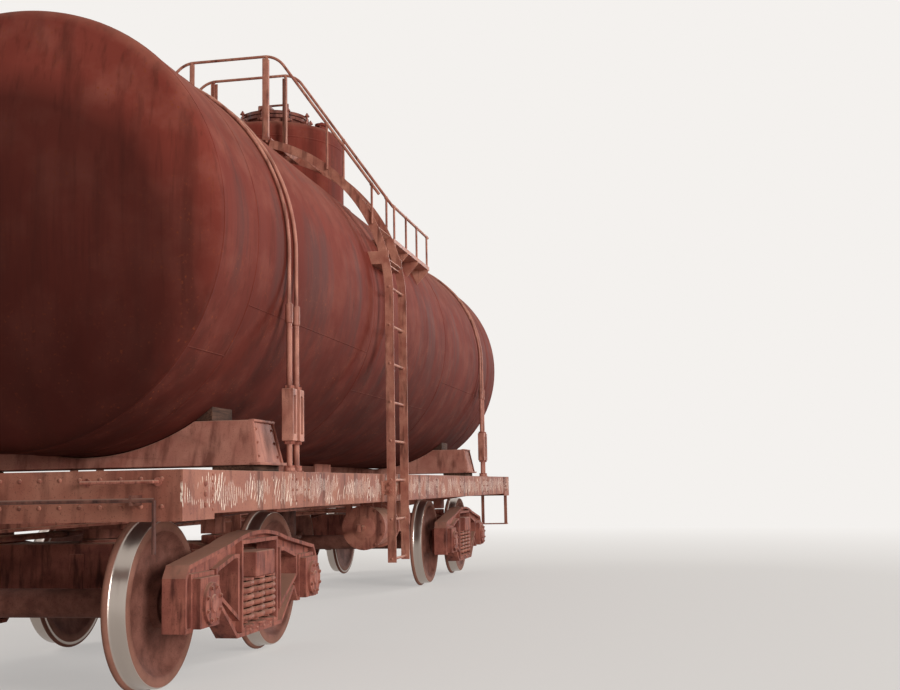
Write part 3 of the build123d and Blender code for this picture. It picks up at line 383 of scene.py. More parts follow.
# Paint rubbed by boots and gloves, and on the strap bars: a little smoother and paler
LADDER_PAINT = weathered("worn_ladder_paint", "#955a4b", "#b27a66", "#5a3127", "#bf957f", 110, 6, rough=0.6)
STRAP_STEEL = weathered("dusty_strap_steel", "#9c6253", "#b97f6d", "#5a3127", "#c09a84", 140, 6, rough=0.58)
# Sand-cast steel: pitted and dull, and where oil or grease reaches it darker and smoother
CAST_STEEL = weathered("sand_cast_steel", "#7a4339", "#9b5e4f", "#3f1f1a", "#a97f6c", 120, 9, rough=0.78)
HATCH_STEEL = weathered("oily_hatch_steel", "#6b3a31", "#8c5748", "#34191a", "#a57c6a", 90, 7, rough=0.5)
COUPLER_STEEL = weathered("greasy_cast_steel", "#4f2f29", "#70493e", "#281614", "#8d6c5e", 110, 8, rough=0.55)
# Bare rolled steel, rusted evenly: fine pits
SPRING_STEEL = weathered("rusted_spring_steel", "#824a3e", "#a46655", "#452119", "#a97f6c", 60, 5, rough=0.66)
BOLT_STEEL = weathered("rusted_bolt_steel", "#84493c", "#a5695a", "#4a241d", "#b08b78", 40, 4, rough=0.6)
# Moulded rubber: almost black and matt, with little dust on it
GASKET = weathered("moulded_black_rubber", "#1c1614", "#2a211e", "#120e0d", "#6d564b", 60, 5, 0.8, 0.4)
TIMBER = timber()
WHEEL_STEEL = {number: wheel_steel(number, x) for number, x in enumerate(WHEEL_X, start=1)}
print(len(bpy.data.materials), "materials")

# %% Dress the nodes
# Where several beginnings fit a name, the last of them counts
FINISHES = (
    (("tank_", "dome", "relief_valve"), PAINT),
    (("dome_footboards", "ladder", "walkway", "handrails"), LADDER_PAINT),
    (("tank_anchors", "centre", "end_", "body_", "cross_", "air_", "brake_cylinder", "brake_rods",
      "distributor", "train_", "saddle"), FRAME_PAINT),
    (("side_sills",), SILL_PAINT), (("hatch",), HATCH_STEEL), (("timber",), TIMBER),
    (("strap", "turnbuckle"), STRAP_STEEL),
    (("side_frames", "bogie_", "axle_boxes", "brake_rigging"), CAST_STEEL),
    (("springs",), SPRING_STEEL), (("couplers", "uncoupling", "bottom_outlet"), COUPLER_STEEL))

for node_name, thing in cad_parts.items():
    chosen = [finish for starts, finish in FINISHES if node_name.startswith(starts)]
    if node_name[-1].isdigit():
        chosen.append(WHEEL_STEEL[int(node_name[-1])])
    thing.data.materials.clear()
    thing.data.materials.append(chosen[-1])
print(len(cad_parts), "nodes dressed")

# %% [markdown]
# ## Tools for the small hardware
# Every loose piece is built from a handful of shapes: a round bar between two points, a ball, a block
# with eased edges, a bolt, a rivet and a ring. Each is a bmesh operator with a matrix that puts it in
# place, so the finished object can stay at the origin. Doubles are merged and normals recalculated
# before the mesh is written, because a spun or mirrored shape may come out inside out. A fastener is
# never put at a guessed depth: a ray is cast onto the node that carries it, and it sits on the hit.

# %% Landing on a node
UP, ALONG = (0, 0, 1), (1, 0, 0)
SURFACES = {}


def landing(node, at, axis, reach=0.6):
    # Where a line that comes in against the axis first meets the node
    if node not in SURFACES:
        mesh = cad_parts[node].data
        SURFACES[node] = BVHTree.FromPolygons([vert.co for vert in mesh.vertices],
                                              [face.vertices[:] for face in mesh.polygons])
    axis = Vector(axis).normalized()
    hit = SURFACES[node].ray_cast(Vector(at) + axis * reach, -axis)[0]
    if hit is None:
        raise ValueError(f"nothing of {node} under {tuple(at)}")
    return hit


# %% Shapes
def turned(axis):
    return Vector(axis).to_track_quat("Z", "Y").to_matrix().to_4x4()


def bar(bm, start, end, radius, sides=12, tip=None):
    start, end = Vector(start), Vector(end)
    place = Matrix.Translation((start + end) / 2) @ turned(end - start)
    bmesh.ops.create_cone(bm, cap_ends=True, segments=sides, radius1=radius,
                          radius2=radius if tip is None else tip, depth=(end - start).length, matrix=place)


def ball(bm, at, radius, around=10, rings=8):
    bmesh.ops.create_uvsphere(bm, u_segments=around, v_segments=rings, radius=radius,
                              matrix=Matrix.Translation(at))


def slab(bm, corner, other, ease=0.0):
    low, high = [Vector([pick(pair) for pair in zip(corner, other)]) for pick in (min, max)]
    place = Matrix.Translation((low + high) / 2) @ Matrix.Diagonal((*(high - low), 1))
    made = bmesh.ops.create_cube(bm, size=1.0, matrix=place)
    edges = {edge for vert in made["verts"] for edge in vert.link_edges}
    bmesh.ops.bevel(bm, geom=list(edges), offset=ease, segments=2, profile=0.5, affect="EDGES", material=-1)


def bolt(bm, at, axis, radius, stub=0.5):
    # A washer, a hexagon and the end of the thread
    at, axis = Vector(at), Vector(axis).normalized()
    bar(bm, at - axis * radius * 0.2, at + axis * radius * 0.28, radius * 1.4, 14)
    bar(bm, at, at + axis * radius * 1.05, radius, 6)
    bar(bm, at, at + axis * radius * (1.05 + stub), radius * 0.52, 8, radius * 0.45)


def rivet(bm, at, axis, radius):
    place = Matrix.Translation(Vector(at)) @ turned(axis) @ Matrix.Diagonal((1, 1, 0.6, 1))
    bmesh.ops.create_uvsphere(bm, u_segments=12, v_segments=6, radius=radius, matrix=place)


def bolt_on(bm, node, at, axis, radius, stub=0.5, reach=0.6):
    bolt(bm, landing(node, at, axis, reach), axis, radius, stub)


def rivet_on(bm, node, at, axis, radius):
    rivet(bm, landing(node, at, axis), axis, radius)


def with_edges(circle):
    # What a spin turns: the circle's vertices and their edges
    return circle["verts"] + list({edge for vert in circle["verts"] for edge in vert.link_edges})


def ring(bm, centre, axis, radius, width, height, steps=72, sides=8, start=UP):
    # An oval section, its width along the axis and its height outwards, spun once about the axis
    centre, axis, start = Vector(centre), Vector(axis).normalized(), Vector(start)
    frame_turn = Matrix((start, axis, start.cross(axis))).transposed().to_4x4()
    section = Matrix.Diagonal((height / 2, width / 2, 1, 1))
    place = Matrix.Translation(centre + start * radius) @ frame_turn @ section
    circle = bmesh.ops.create_circle(bm, segments=sides, radius=1.0, matrix=place)
    bmesh.ops.spin(bm, geom=with_edges(circle), cent=centre, axis=axis, angle=math.tau, steps=steps,
                   use_merge=True, use_duplicate=False)


# %% Finishing a piece
MERGE = 0.02 * MM


def linked(mesh, name, finish, sharp):
    # Faces meet smoothly, except at edges that are sharper than the angle
    mesh.set_sharp_from_angle(angle=math.radians(sharp))
    mesh.materials.append(finish)
    piece = bpy.data.objects.new(name, mesh)
    bpy.context.scene.collection.objects.link(piece)
    return piece


def finished(bm, name, body, finish, sharp=35.0):
    bmesh.ops.remove_doubles(bm, verts=bm.verts, dist=MERGE)
    open_edges = [edge for edge in bm.edges if edge.is_boundary]
    if open_edges:
        bmesh.ops.holes_fill(bm, edges=open_edges)
    bmesh.ops.recalc_face_normals(bm, faces=bm.faces)
    for face in bm.faces:
        face.smooth = True
    mesh = bpy.data.meshes.new(name)
    bm.to_mesh(mesh)
    bm.free()
    piece = linked(mesh, name, finish, sharp)
    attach(piece, body)
    print(f"{name}: {len(mesh.polygons)} faces on {body}")
    return piece


# %% [markdown]
# ## Wheels with a curved web
# A rolled wheel is never a flat disc: its web leans and swells so that it can spring when the brakes
# heat the rim. The section is drawn once as a few points, from the bore round the hub, the web, the
# flange and the tread, and spun about the axle. One end of the axle is the mirror of the other.

# %% Wheels
# Radius and distance from the middle of the axle, in millimetres
WHEEL_SECTION = (
    (97.2, 700), (127, 700), (135, 708), (139, 744), (160, 764), (220, 772), (300, 770), (360, 757),
    (396, 736), (407, 722), (412, 720), (494, 720), (500, 724), (502.6, 731), (501.6, 739), (496, 747),
    (487, 752), (479, 757), (475.6, 766), (474.8, 800), (472.6, 838), (469, 847), (461, 850), (412, 850),
    (404, 843), (393, 822), (360, 805), (300, 800), (220, 802), (164, 808), (143, 824), (137, 862),
    (129, 870), (97.2, 870))

for number, centre_x in enumerate(WHEEL_X, start=1):
    bm = bmesh.new()
    for side in SIDES:
        corners = [bm.verts.new((centre_x, side * y * MM, AXLE_Z - r * MM)) for r, y in WHEEL_SECTION]
        section = corners + [bm.edges.new((a, b)) for a, b in zip(corners, corners[1:] + corners[:1])]
        bmesh.ops.spin(bm, geom=section, cent=(centre_x, 0, AXLE_Z), axis=(0, 1, 0), angle=math.tau, steps=72,
                       use_merge=True, use_duplicate=False)
    wheel = finished(bm, f"rolled_wheels_{number}", f"wheelset_{number}",
                     WHEEL_STEEL[number], sharp=40)
    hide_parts(f"wheels_{number}")

# %% [markdown]
# ## Coil springs
# Each side frame holds three springs, and each of them is a heavy outer coil with a thinner coil of
# the other hand inside it, so that the two can't lock into each other. A spin with a step of height
# turns a small circle into a coil. The end turns are pressed flat between round seats.

# %% Springs
OUTER_WIRE, INNER_WIRE = 17 * MM, 10 * MM
OUTER_TURNS, INNER_TURNS = 6.0, 8.0
STEPS_PER_TURN = 20
SEAT_T, SEAT_BITE = 14 * MM, 0.6
SPRING_R = 96 * MM


def coil(bm, x, y, low, high, radius, wire, turns, hand):
    start = Matrix.Translation((x + radius, y, low + wire)) @ Matrix.Rotation(math.pi / 2, 4, "X")
    circle = bmesh.ops.create_circle(bm, segments=8, radius=wire, matrix=start)
    steps = round(turns * STEPS_PER_TURN)
    rise = (high - low - 2 * wire) / steps
    bmesh.ops.spin(bm, geom=with_edges(circle), cent=(x, y, 0), axis=(0, 0, hand), dvec=(0, 0, rise),
                   angle=math.tau * turns, steps=steps, use_merge=False, use_duplicate=False)


for end, bogie_x in BOGIES.items():
    low, high, _ = span(f"springs_{end}")
    foot, head = low.z + SEAT_T * SEAT_BITE, high.z - SEAT_T * SEAT_BITE
    pitch = high.x - SPRING_R - bogie_x
    bm = bmesh.new()
    for side in SIDES:
        for place in (-pitch, 0.0, pitch):
            x, y = bogie_x + place, side * (high.y - SPRING_R)
            coil(bm, x, y, foot, head, SPRING_R - OUTER_WIRE, OUTER_WIRE, OUTER_TURNS, 1)
            coil(bm, x, y, foot, head, SPRING_R - 3 * OUTER_WIRE, INNER_WIRE, INNER_TURNS, -1)
            for z in (low.z, high.z - SEAT_T):
                bar(bm, (x, y, z), (x, y, z + SEAT_T), SPRING_R - 2 * MM, 28)
    springs = finished(bm, f"coil_springs_{end}", f"bogie_{end}", SPRING_STEEL)
    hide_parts(f"springs_{end}")

# %% [markdown]
# ## Castings with eased edges
# Sand casting can't make a sharp corner, and a burnt or sheared plate loses its sharpness with age.
# A copy of the model's own mesh is merged and cleaned, and a Bevel modifier rounds its edges, so the
# light draws a thin line along them. The original mesh is left alone and hidden behind the copy. A
# journal turns in a box bore that is wider by its bearing play, so that flat facets never cross.

# %% Eased copies
BORE_LIMIT, BEARING_PLAY = 70 * MM, 1.5 * MM
CASTING_SHARP = 38.0


def loosened(bm):
    for vert in bm.verts:
        for centre_x in WHEEL_X:
            out = Vector((vert.co.x - centre_x, 0, vert.co.z - AXLE_Z))
            if 1 * MM < out.length < BORE_LIMIT:
                vert.co += out.normalized() * BEARING_PLAY


def eased(node, ease_mm, body, slot, finish):
    bm = bmesh.new()
    bm.from_mesh(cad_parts[node].data)
    bmesh.ops.remove_doubles(bm, verts=bm.verts, dist=MERGE)
    if node.startswith("axle_boxes"):
        loosened(bm)
    bmesh.ops.dissolve_limit(bm, angle_limit=math.radians(1.0), verts=bm.verts, edges=bm.edges)
    mesh = bpy.data.meshes.new(f"{node}_eased")
    bm.to_mesh(mesh)
    bm.free()
    piece = linked(mesh, f"{node}_eased", finish, CASTING_SHARP)
    soft = piece.modifiers.new("ease", "BEVEL")
    soft.width = ease_mm * MM
    soft.segments = 2
    soft.limit_method = "ANGLE"
    soft.angle_limit = math.radians(CASTING_SHARP)
    soft.use_clamp_overlap = True
    soft.harden_normals = True
    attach(piece, body)
    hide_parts(node)


EASED = [("couplers", 9, "car", "coupler_steel", COUPLER_STEEL),
         ("saddle_brackets", 7, "car", "frame_paint", SADDLE_PAINT),
         ("timber_blocks", 5, "car", "timber", TIMBER),
         ("turnbuckles", 5, "car", "strap_steel", STRAP_STEEL),
         ("end_beams", 3, "car", "frame_paint", SILL_PAINT),
         ("side_sills", 3, "car", "frame_paint", SILL_PAINT),
         ("distributor_valve", 8, "car", "frame_paint", FRAME_PAINT)]
for end in BOGIES:
    for node, ease_mm in (("side_frames", 7), ("bogie_bolster", 10), ("axle_boxes", 6), ("brake_rigging", 3)):
        EASED.append((f"{node}_{end}", ease_mm, f"bogie_{end}", "cast_bogie", CAST_STEEL))
for row in EASED:
    eased(*row)
print(len(EASED), "nodes with eased edges")

# %% [markdown]
# ## Bogie hardware
# Bolts ring each axle-box cover round a small inspection cap. Rows of bolts run up the legs beside
# each box and up the columns beside the springs, and rivets line the bottom chord of the frame.

# %% Bogie hardware
COVER_BOLTS, COVER_R, COVER_BOLT_R = 8, 97 * MM, 11 * MM
CAP_R, CAP_T = 52 * MM, 9 * MM
LEG_X, LEG_Z = 170 * MM, (0.40, 0.47, 0.66)
COLUMN_X, COLUMN_Z = 344 * MM, (0.36, 0.44, 0.52, 0.60)
CHORD_X, CHORD_DROP = (60 * MM, 180 * MM), 26 * MM
FRAME_BOLT_R, CHORD_RIVET_R = 12 * MM, 13 * MM
OUTSIDE_Y = 1.1
for end, bogie_x in BOGIES.items():
    boxes, sides = f"axle_boxes_{end}", f"side_frames_{end}"
    chord_z = span(f"springs_{end}")[0].z - CHORD_DROP
    axles = [x for x in WHEEL_X if (x < 0) == (bogie_x < 0)]
    bm = bmesh.new()
    for side in SIDES:
        out, far_y = (0, side, 0), side * OUTSIDE_Y
        for centre_x in axles:
            for number in range(COVER_BOLTS):
                angle = math.tau * (number + 0.5) / COVER_BOLTS
                spot = (centre_x + COVER_R * math.cos(angle), far_y, AXLE_Z + COVER_R * math.sin(angle))
                bolt_on(bm, boxes, spot, out, COVER_BOLT_R, 0.2)
            cap = landing(boxes, (centre_x, far_y, AXLE_Z), out)
            bar(bm, cap, cap + Vector(out) * CAP_T, CAP_R, 28, CAP_R * 0.9)
        rows = [(centre_x, LEG_X, LEG_Z) for centre_x in axles] + [(bogie_x, COLUMN_X, COLUMN_Z)]
        for middle, half, levels in rows:
            for x in (middle - half, middle + half):
                for z in levels:
                    bolt_on(bm, sides, (x, far_y, z), out, FRAME_BOLT_R, 0.3)
        for place in CHORD_X:
            for sign in SIDES:
                rivet_on(bm, sides, (bogie_x + sign * place, far_y, chord_z), out, CHORD_RIVET_R)
    finished(bm, f"bogie_bolts_{end}", f"bogie_{end}", BOLT_STEEL)

# %% [markdown]
# ## Weld seams of the shell
# The barrel is rolled from several courses of plate, and each pair meets in a weld bead that stands
# a few millimetres proud. One bead rounds each joint and two more run along each course, turned a
# little from its neighbour so that no four corners meet. The dished ends have their own round seam.

# %% Tank seams
BEAD_W, BEAD_H = 20 * MM, 7 * MM
COURSES = (-4.18, -1.46, 1.46, 4.18)
SEAM_TURNS, SEAM_STAGGER = (118, 242), (-6, 9)
bounds = (barrel_low.x, *COURSES, barrel_high.x)
bm = bmesh.new()
for x in bounds:
    ring(bm, (x, 0, TANK_Z), ALONG, TANK_R, BEAD_W, BEAD_H, steps=120)
for number, (start, end) in enumerate(zip(bounds, bounds[1:])):
    for seam_turn in SEAM_TURNS:
        angle = math.radians(seam_turn + SEAM_STAGGER[number % 2])
        y, z = TANK_R * math.sin(angle), TANK_Z + TANK_R * math.cos(angle)
        bar(bm, (start, y, z), (end, y, z), BEAD_H / 2, 8)
finished(bm, "tank_weld_seams", "car", PAINT, sharp=70)

# %% [markdown]
# ## Hatch
# Swing bolts hold the lid: each has an eye on a pin between two lugs of the neck and a nut level with
# the lid's rim, just outside it, so the lid can still lift. A bail of bent round bar lifts the lid, so
# it rides on the lid's body, and a gasket fills the slit under the lid.

# %% Swing bolts
lid_low = span("hatch_lid")[0]
_, dome_high, dome_mid = span("dome")
DOME_AT = Vector((dome_mid.x, 0, 0))
SWING_BOLTS, SWING_STEP, SWING_R = 7, 40.0, 352 * MM
RIM_Z, LID_TOP = lid_low.z - 6 * MM, lid_low.z + 30 * MM
PIN_DROP, PIN_HALF, SWING_STEM_R = 47 * MM, 36 * MM, 8 * MM
LUG_IN, LUG_OUT, LUG_R = 34 * MM, 40 * MM, 13 * MM
EYE_HALF, SWING_NUT_R = 15 * MM, 17 * MM
STEM_UP, SWING_NUT_DROP = 34 * MM, 32 * MM
bm = bmesh.new()
for number in range(SWING_BOLTS):
    angle = math.radians(180 + SWING_STEP * (number - (SWING_BOLTS - 1) / 2))
    out = Vector((math.cos(angle), math.sin(angle), 0))
    flat = Vector((-out.y, out.x, 0))
    foot = DOME_AT + out * SWING_R + Vector((0, 0, RIM_Z - PIN_DROP))
    bar(bm, foot - flat * PIN_HALF, foot + flat * PIN_HALF, SWING_STEM_R, 10)
    for side in SIDES:
        bar(bm, foot + flat * side * LUG_IN, foot + flat * side * LUG_OUT, LUG_R, 12)
    bar(bm, foot - flat * EYE_HALF, foot + flat * EYE_HALF, SWING_NUT_R, 14)
    top = foot + Vector((0, 0, LID_TOP - foot.z + STEM_UP))
    bar(bm, foot, top, SWING_STEM_R, 12)
    bolt(bm, top - Vector((0, 0, SWING_NUT_DROP)), UP, SWING_NUT_R, 0.1)
finished(bm, "hatch_swing_bolts", "car", BOLT_STEEL)

# %% Bail and gasket
BAIL_HALF, BAIL_R, BAIL_TOP, BAIL_BACK = 145 * MM, 11 * MM, 172 * MM, 40 * MM
BAIL_FOOT, BAIL_BOSS = 40 * MM, 26 * MM
GASKET_R, GASKET_W, GASKET_H = 311 * MM, 5 * MM, 22 * MM
bm = bmesh.new()
feet = [DOME_AT + Vector((-BAIL_BACK, side * BAIL_HALF, lid_low.z + BAIL_FOOT)) for side in SIDES]
corners = [foot + Vector((0, 0, BAIL_TOP - BAIL_FOOT)) for foot in feet]
for foot, corner in zip(feet, corners):
    bar(bm, foot, corner, BAIL_R, 12)
    ball(bm, corner, BAIL_R * 1.02, 12)
    bar(bm, foot, foot + Vector((0, 0, BAIL_BOSS)), BAIL_R * 2, 14)
bar(bm, corners[0], corners[1], BAIL_R, 12)
finished(bm, "lid_bail", "hatch_lid", HATCH_STEEL)

bm = bmesh.new()
ring(bm, (DOME_AT.x, 0, (RIM_Z + lid_low.z) / 2), UP, GASKET_R, GASKET_W, GASKET_H, sides=10, start=ALONG)
finished(bm, "hatch_gasket", "car", GASKET)

# %% [markdown]
# ## Dome
# The dome's shell and its neck are welded on, which a bead round the shoulder and one round the neck
# show. The relief valve's cap is held by small bolts from below, above a thick collar.

# %% Dome beads and relief valve
# Radius, height of the middle, width and height of each bead
DOME_BEADS = ((660 * MM, dome_high.z - 190 * MM, 16 * MM, 8 * MM),
              (299 * MM, dome_high.z - 1 * MM, 14 * MM, 14 * MM))
CAP_BOLTS, CAP_BOLT_AT, CAP_BOLT_DROP, CAP_BOLT_R = 6, 54 * MM, 26 * MM, 7 * MM
TIP_LOW, TIP_HIGH, TIP_R, TIP_TOP_R = 2 * MM, 22 * MM, 22 * MM, 13 * MM
COLLAR_UP, COLLAR_R, COLLAR_W, COLLAR_H = 42 * MM, 52 * MM, 12 * MM, 16 * MM
valve_low, valve_high, valve_mid = span("relief_valve")
bm = bmesh.new()
for radius, z, width, height in DOME_BEADS:
    ring(bm, (DOME_AT.x, 0, z), UP, radius, width, height, start=ALONG)
finished(bm, "dome_weld_beads", "car", PAINT, sharp=70)

bm = bmesh.new()
for number in range(CAP_BOLTS):
    angle = math.tau * number / CAP_BOLTS
    x, y = valve_mid.x + CAP_BOLT_AT * math.cos(angle), valve_mid.y + CAP_BOLT_AT * math.sin(angle)
    bolt(bm, (x, y, valve_high.z - CAP_BOLT_DROP), (0, 0, -1), CAP_BOLT_R, 0.6)
bar(bm, (*valve_mid.xy, valve_high.z - TIP_LOW), (*valve_mid.xy, valve_high.z + TIP_HIGH),
    TIP_R, 16, TIP_TOP_R)
ring(bm, (*valve_mid.xy, valve_low.z + COLLAR_UP), UP, COLLAR_R, COLLAR_W, COLLAR_H, steps=24, start=ALONG)
finished(bm, "relief_valve_bolts", "car", BOLT_STEEL)

# %% [markdown]
# ## Strap tension gear
# Each strap ends in a threaded rod that a turnbuckle pulls tight. Inside the slot of the turnbuckle
# both rod ends show their threads, a lock nut sits at each end of it, and a bigger nut holds the
# lower rod on the sill. A thread is a stack of short cones, at a coarser pitch than the real one.

# %% Turnbuckle threads and nuts
buckle_low, buckle_high, _ = span("turnbuckles")
BOSS_H = 45 * MM
THREAD_R, THREAD_PITCH, THREAD_L = 17 * MM, 7 * MM, 84 * MM
ROOT_R = THREAD_R * 0.88
LOCK_NUT_R, LOCK_NUT_H = 35 * MM, 20 * MM
WASHER_R, WASHER_T, SILL_NUT = 44 * MM, 7 * MM, (4 * MM, 40 * MM)
# Radius, drop below the rod's top, width and height of the two beads of a strap's end
STRAP_BEADS = ((19 * MM, 122 * MM, 8 * MM, 9 * MM), (17 * MM, 0.0, 10 * MM, 12 * MM))


def thread(bm, x, y, low, length):
    for number in range(round(length / THREAD_PITCH)):
        z = low + number * THREAD_PITCH
        bar(bm, (x, y, z), (x, y, z + THREAD_PITCH / 2), ROOT_R, 12, THREAD_R)
        bar(bm, (x, y, z + THREAD_PITCH / 2), (x, y, z + THREAD_PITCH), THREAD_R, 12, ROOT_R)


bm = bmesh.new()
for end in SIDES:
    for side in SIDES:
        for x in STRAP_X:
            x, y = end * x, side * STRAP_Y
            thread(bm, x, y, buckle_low.z + BOSS_H, THREAD_L)
            thread(bm, x, y, buckle_high.z - BOSS_H - THREAD_L, THREAD_L)
            bar(bm, (x, y, buckle_high.z), (x, y, buckle_high.z + LOCK_NUT_H), LOCK_NUT_R, 6)
            bar(bm, (x, y, buckle_low.z - LOCK_NUT_H), (x, y, buckle_low.z), LOCK_NUT_R, 6)
            bar(bm, (x, y, sill_high.z), (x, y, sill_high.z + WASHER_T), WASHER_R, 20)
            bar(bm, (x, y, sill_high.z + SILL_NUT[0]), (x, y, sill_high.z + SILL_NUT[1]), LOCK_NUT_R, 6)
            for radius, drop, width, height in STRAP_BEADS:
                ring(bm, (x, y, rods_high.z - drop), UP, radius, width, height,
                     steps=20, sides=6, start=ALONG)
finished(bm, "strap_nuts_and_threads", "car", BOLT_STEEL)

# %% [markdown]
# ## Saddle plates
# The sloping end of each saddle is a plate with its edges stiffened and bolted through, and its foot
# spreads the load on the packing. All of it is measured along the slope, from its foot to its top.

# %% Saddle plates and bolts
saddle_low, saddle_high, _ = span("saddle_brackets")
SADDLE_X = (STRAP_X[0] + STRAP_X[1]) / 2
FOOT_HALF, TOP_HALF = 250 * MM, 190 * MM
WING_IN = 55 * MM
EDGE_R, EDGE_OUT = 12 * MM, 3 * MM
WING_BOLTS, WING_BOLT_IN, WING_BOLT_R = (0.2, 0.5, 0.8), 60 * MM, 9 * MM
# Half length past the edge, half width, and the levels of the underside and the top
FOOT_PLATE, TOP_PLATE = (8 * MM, 30 * MM, 0.0, 18 * MM), (0.0, 20 * MM, -12 * MM, 4 * MM)
PLATE_EASE = 3 * MM
rise = saddle_high.z - saddle_low.z
bm = bmesh.new()
for end in SIDES:
    for side in SIDES:
        foot = Vector((end * SADDLE_X, side * saddle_high.y, saddle_low.z))
        slope = Vector((0, -side * WING_IN, rise))
        outward = Vector((0, side * rise, WING_IN)).normalized()
        for edge in SIDES:
            a = foot + Vector((edge * (FOOT_HALF - EDGE_R), 0, 0)) + outward * EDGE_OUT
            b = foot + slope + Vector((edge * (TOP_HALF - EDGE_R), 0, 0)) + outward * EDGE_OUT
            bar(bm, a, b, EDGE_R, 6)
            for share in WING_BOLTS:
                half = FOOT_HALF - WING_BOLT_IN - share * (FOOT_HALF - TOP_HALF)
                spot = foot + slope * share + Vector((edge * half, 0, 0))
                bolt_on(bm, "saddle_brackets", spot, outward, WING_BOLT_R, 0.4, 0.05)
        for at, half, plate in ((foot, FOOT_HALF, FOOT_PLATE), (foot + slope, TOP_HALF, TOP_PLATE)):
            past, width, low, high = plate
            half += past
            slab(bm, at + Vector((-half, -width, low)), at + Vector((half, width, high)), PLATE_EASE)
finished(bm, "saddle_plates", "car", SADDLE_PAINT)

# %% [markdown]
# ## Rivets of the frame
# The sill, the corner plates and the end beams are riveted. Snap heads are flattened half balls in
# straight rows, and each sits where a ray meets the plate that it holds.

# %% Frame rivets
FRAME_END = 5400 * MM
# Each row up the frame's side: node, distance from mid-car, shares down the sill, and radius
CORNER_ROW = ("end_beams", 5120 * MM, (0.31, 0.54, 0.78), 17 * MM)
PLATE_ROW = ("end_beams", 5022 * MM, (0.1, 0.26, 0.42, 0.58, 0.74, 0.9), 9 * MM)
SILL_ROWS = [("side_sills", x * MM, (0.2, 0.5, 0.8), 11 * MM) for x in (650, 1900, 3400, 3480, 3640, 3720)]
END_RIVETS, END_FIRST, END_PITCH, END_RIVET_R = 9, 380 * MM, 110 * MM, 12 * MM


def down_sill(share):
    return sill_high.z - share * (sill_high.z - sill_low.z)


bm = bmesh.new()
for side in SIDES:
    for end in SIDES:
        for node, x, shares, radius in (CORNER_ROW, PLATE_ROW, *SILL_ROWS):
            for share in shares:
                rivet_on(bm, node, (end * x, side * SILL_FACE, down_sill(share)), (0, side, 0), radius)
        for share in (0.2, 0.8):
            for number in range(END_RIVETS):
                spot = (end * FRAME_END, side * (END_FIRST + number * END_PITCH), down_sill(share))
                rivet_on(bm, "end_beams", spot, (end, 0, 0), END_RIVET_R)
finished(bm, "frame_rivets", "car", FRAME_PAINT, sharp=80)

# %% [markdown]
# ## Ladder fixings
# A welded collar closes each rung inside the stiles and a rivet head outside them. Bolts hold the
# stiles to their brackets, and a patch plate with two bolts carries each bracket on the sill.

# %% Ladder fixings
stile_low, stile_high, _ = span("ladder_stiles")
STILE_W, BRACKET_T = 72 * MM, 10 * MM
STILE_Y = stile_high.y - STILE_W / 2
# Where each stile is, and which way is inwards from it
STILES = ((stile_low.x + BRACKET_T, 1), (stile_high.x - BRACKET_T, -1))
RUNG_Z, RUNG_PITCH, RUNGS = stile_low.z + 28 * MM, 322 * MM, 8
COLLAR_ASIDE = 18 * MM
RUNG_R, RUNG_COLLAR = 12 * MM, 9 * MM
STILE_BOLT_IN, STILE_BOLT_Z, STILE_BOLT_R = 4 * MM, 32 * MM, 15 * MM
PATCH_L, PATCH_LAP, PATCH_HALF, PATCH_T = 100 * MM, 4 * MM, 52 * MM, 8 * MM
PATCH_BOLT_Z, PATCH_BOLT_R = 26 * MM, 9 * MM
PATCHES = ((stile_low.x - PATCH_L, stile_low.x + PATCH_LAP),
           (stile_high.x - PATCH_LAP, stile_high.x + PATCH_L))
bm = bmesh.new()
for side in SIDES:
    for number in range(RUNGS):
        z = RUNG_Z + number * RUNG_PITCH
        for x, inwards in STILES:
            beside = (x, side * (STILE_Y + COLLAR_ASIDE), z + COLLAR_ASIDE)
            spot = landing("ladder_stiles", beside, (inwards, 0, 0), 0.2)
            ring(bm, (spot.x, side * STILE_Y, z), ALONG, RUNG_R, RUNG_COLLAR, RUNG_COLLAR, steps=16, sides=6)
            rivet_on(bm, "ladder_stiles", (x, side * STILE_Y, z), (-inwards, 0, 0), RUNG_R)
    for drop in (-STILE_BOLT_Z, STILE_BOLT_Z):
        for x, inwards in STILES:
            spot = (x, side * (STILE_Y - STILE_BOLT_IN), sill_mid.z + drop)
            bolt_on(bm, "ladder_stiles", spot, (-inwards, 0, 0), STILE_BOLT_R, 0.3)
    for x0, x1 in PATCHES:
        slab(bm, (x0, side * (SILL_FACE - 1 * MM), sill_mid.z - PATCH_HALF),
             (x1, side * (SILL_FACE + PATCH_T), sill_mid.z + PATCH_HALF), 2 * MM)
        for drop in (-PATCH_BOLT_Z, PATCH_BOLT_Z):
            spot = ((x0 + x1) / 2, side * (SILL_FACE + PATCH_T - 1 * MM), sill_mid.z + drop)
            bolt(bm, spot, (0, side, 0), PATCH_BOLT_R, 0.4)
finished(bm, "ladder_fixings", "car", LADDER_PAINT)

# %% [markdown]
# ## Handrail sockets and posts
# A round socket sits where a post meets its rail and a flange where it stands on the deck. The four
# posts are wrapped in angle iron, whose two legs are made as thin blocks.

# %% Rail sockets and post angles
rail_low, rail_high, _ = span("handrails")
deck_low, deck_high, _ = span("walkway")
RAIL_R, POST_Y = 12.5 * MM, 347 * MM
crest = rail_high.z - RAIL_R
SOCKET_R, SOCKET_DROP = 18 * MM, 6 * MM
FLANGE_R, FLANGE_T, FLANGE_IN = 22 * MM, 12 * MM, 24 * MM
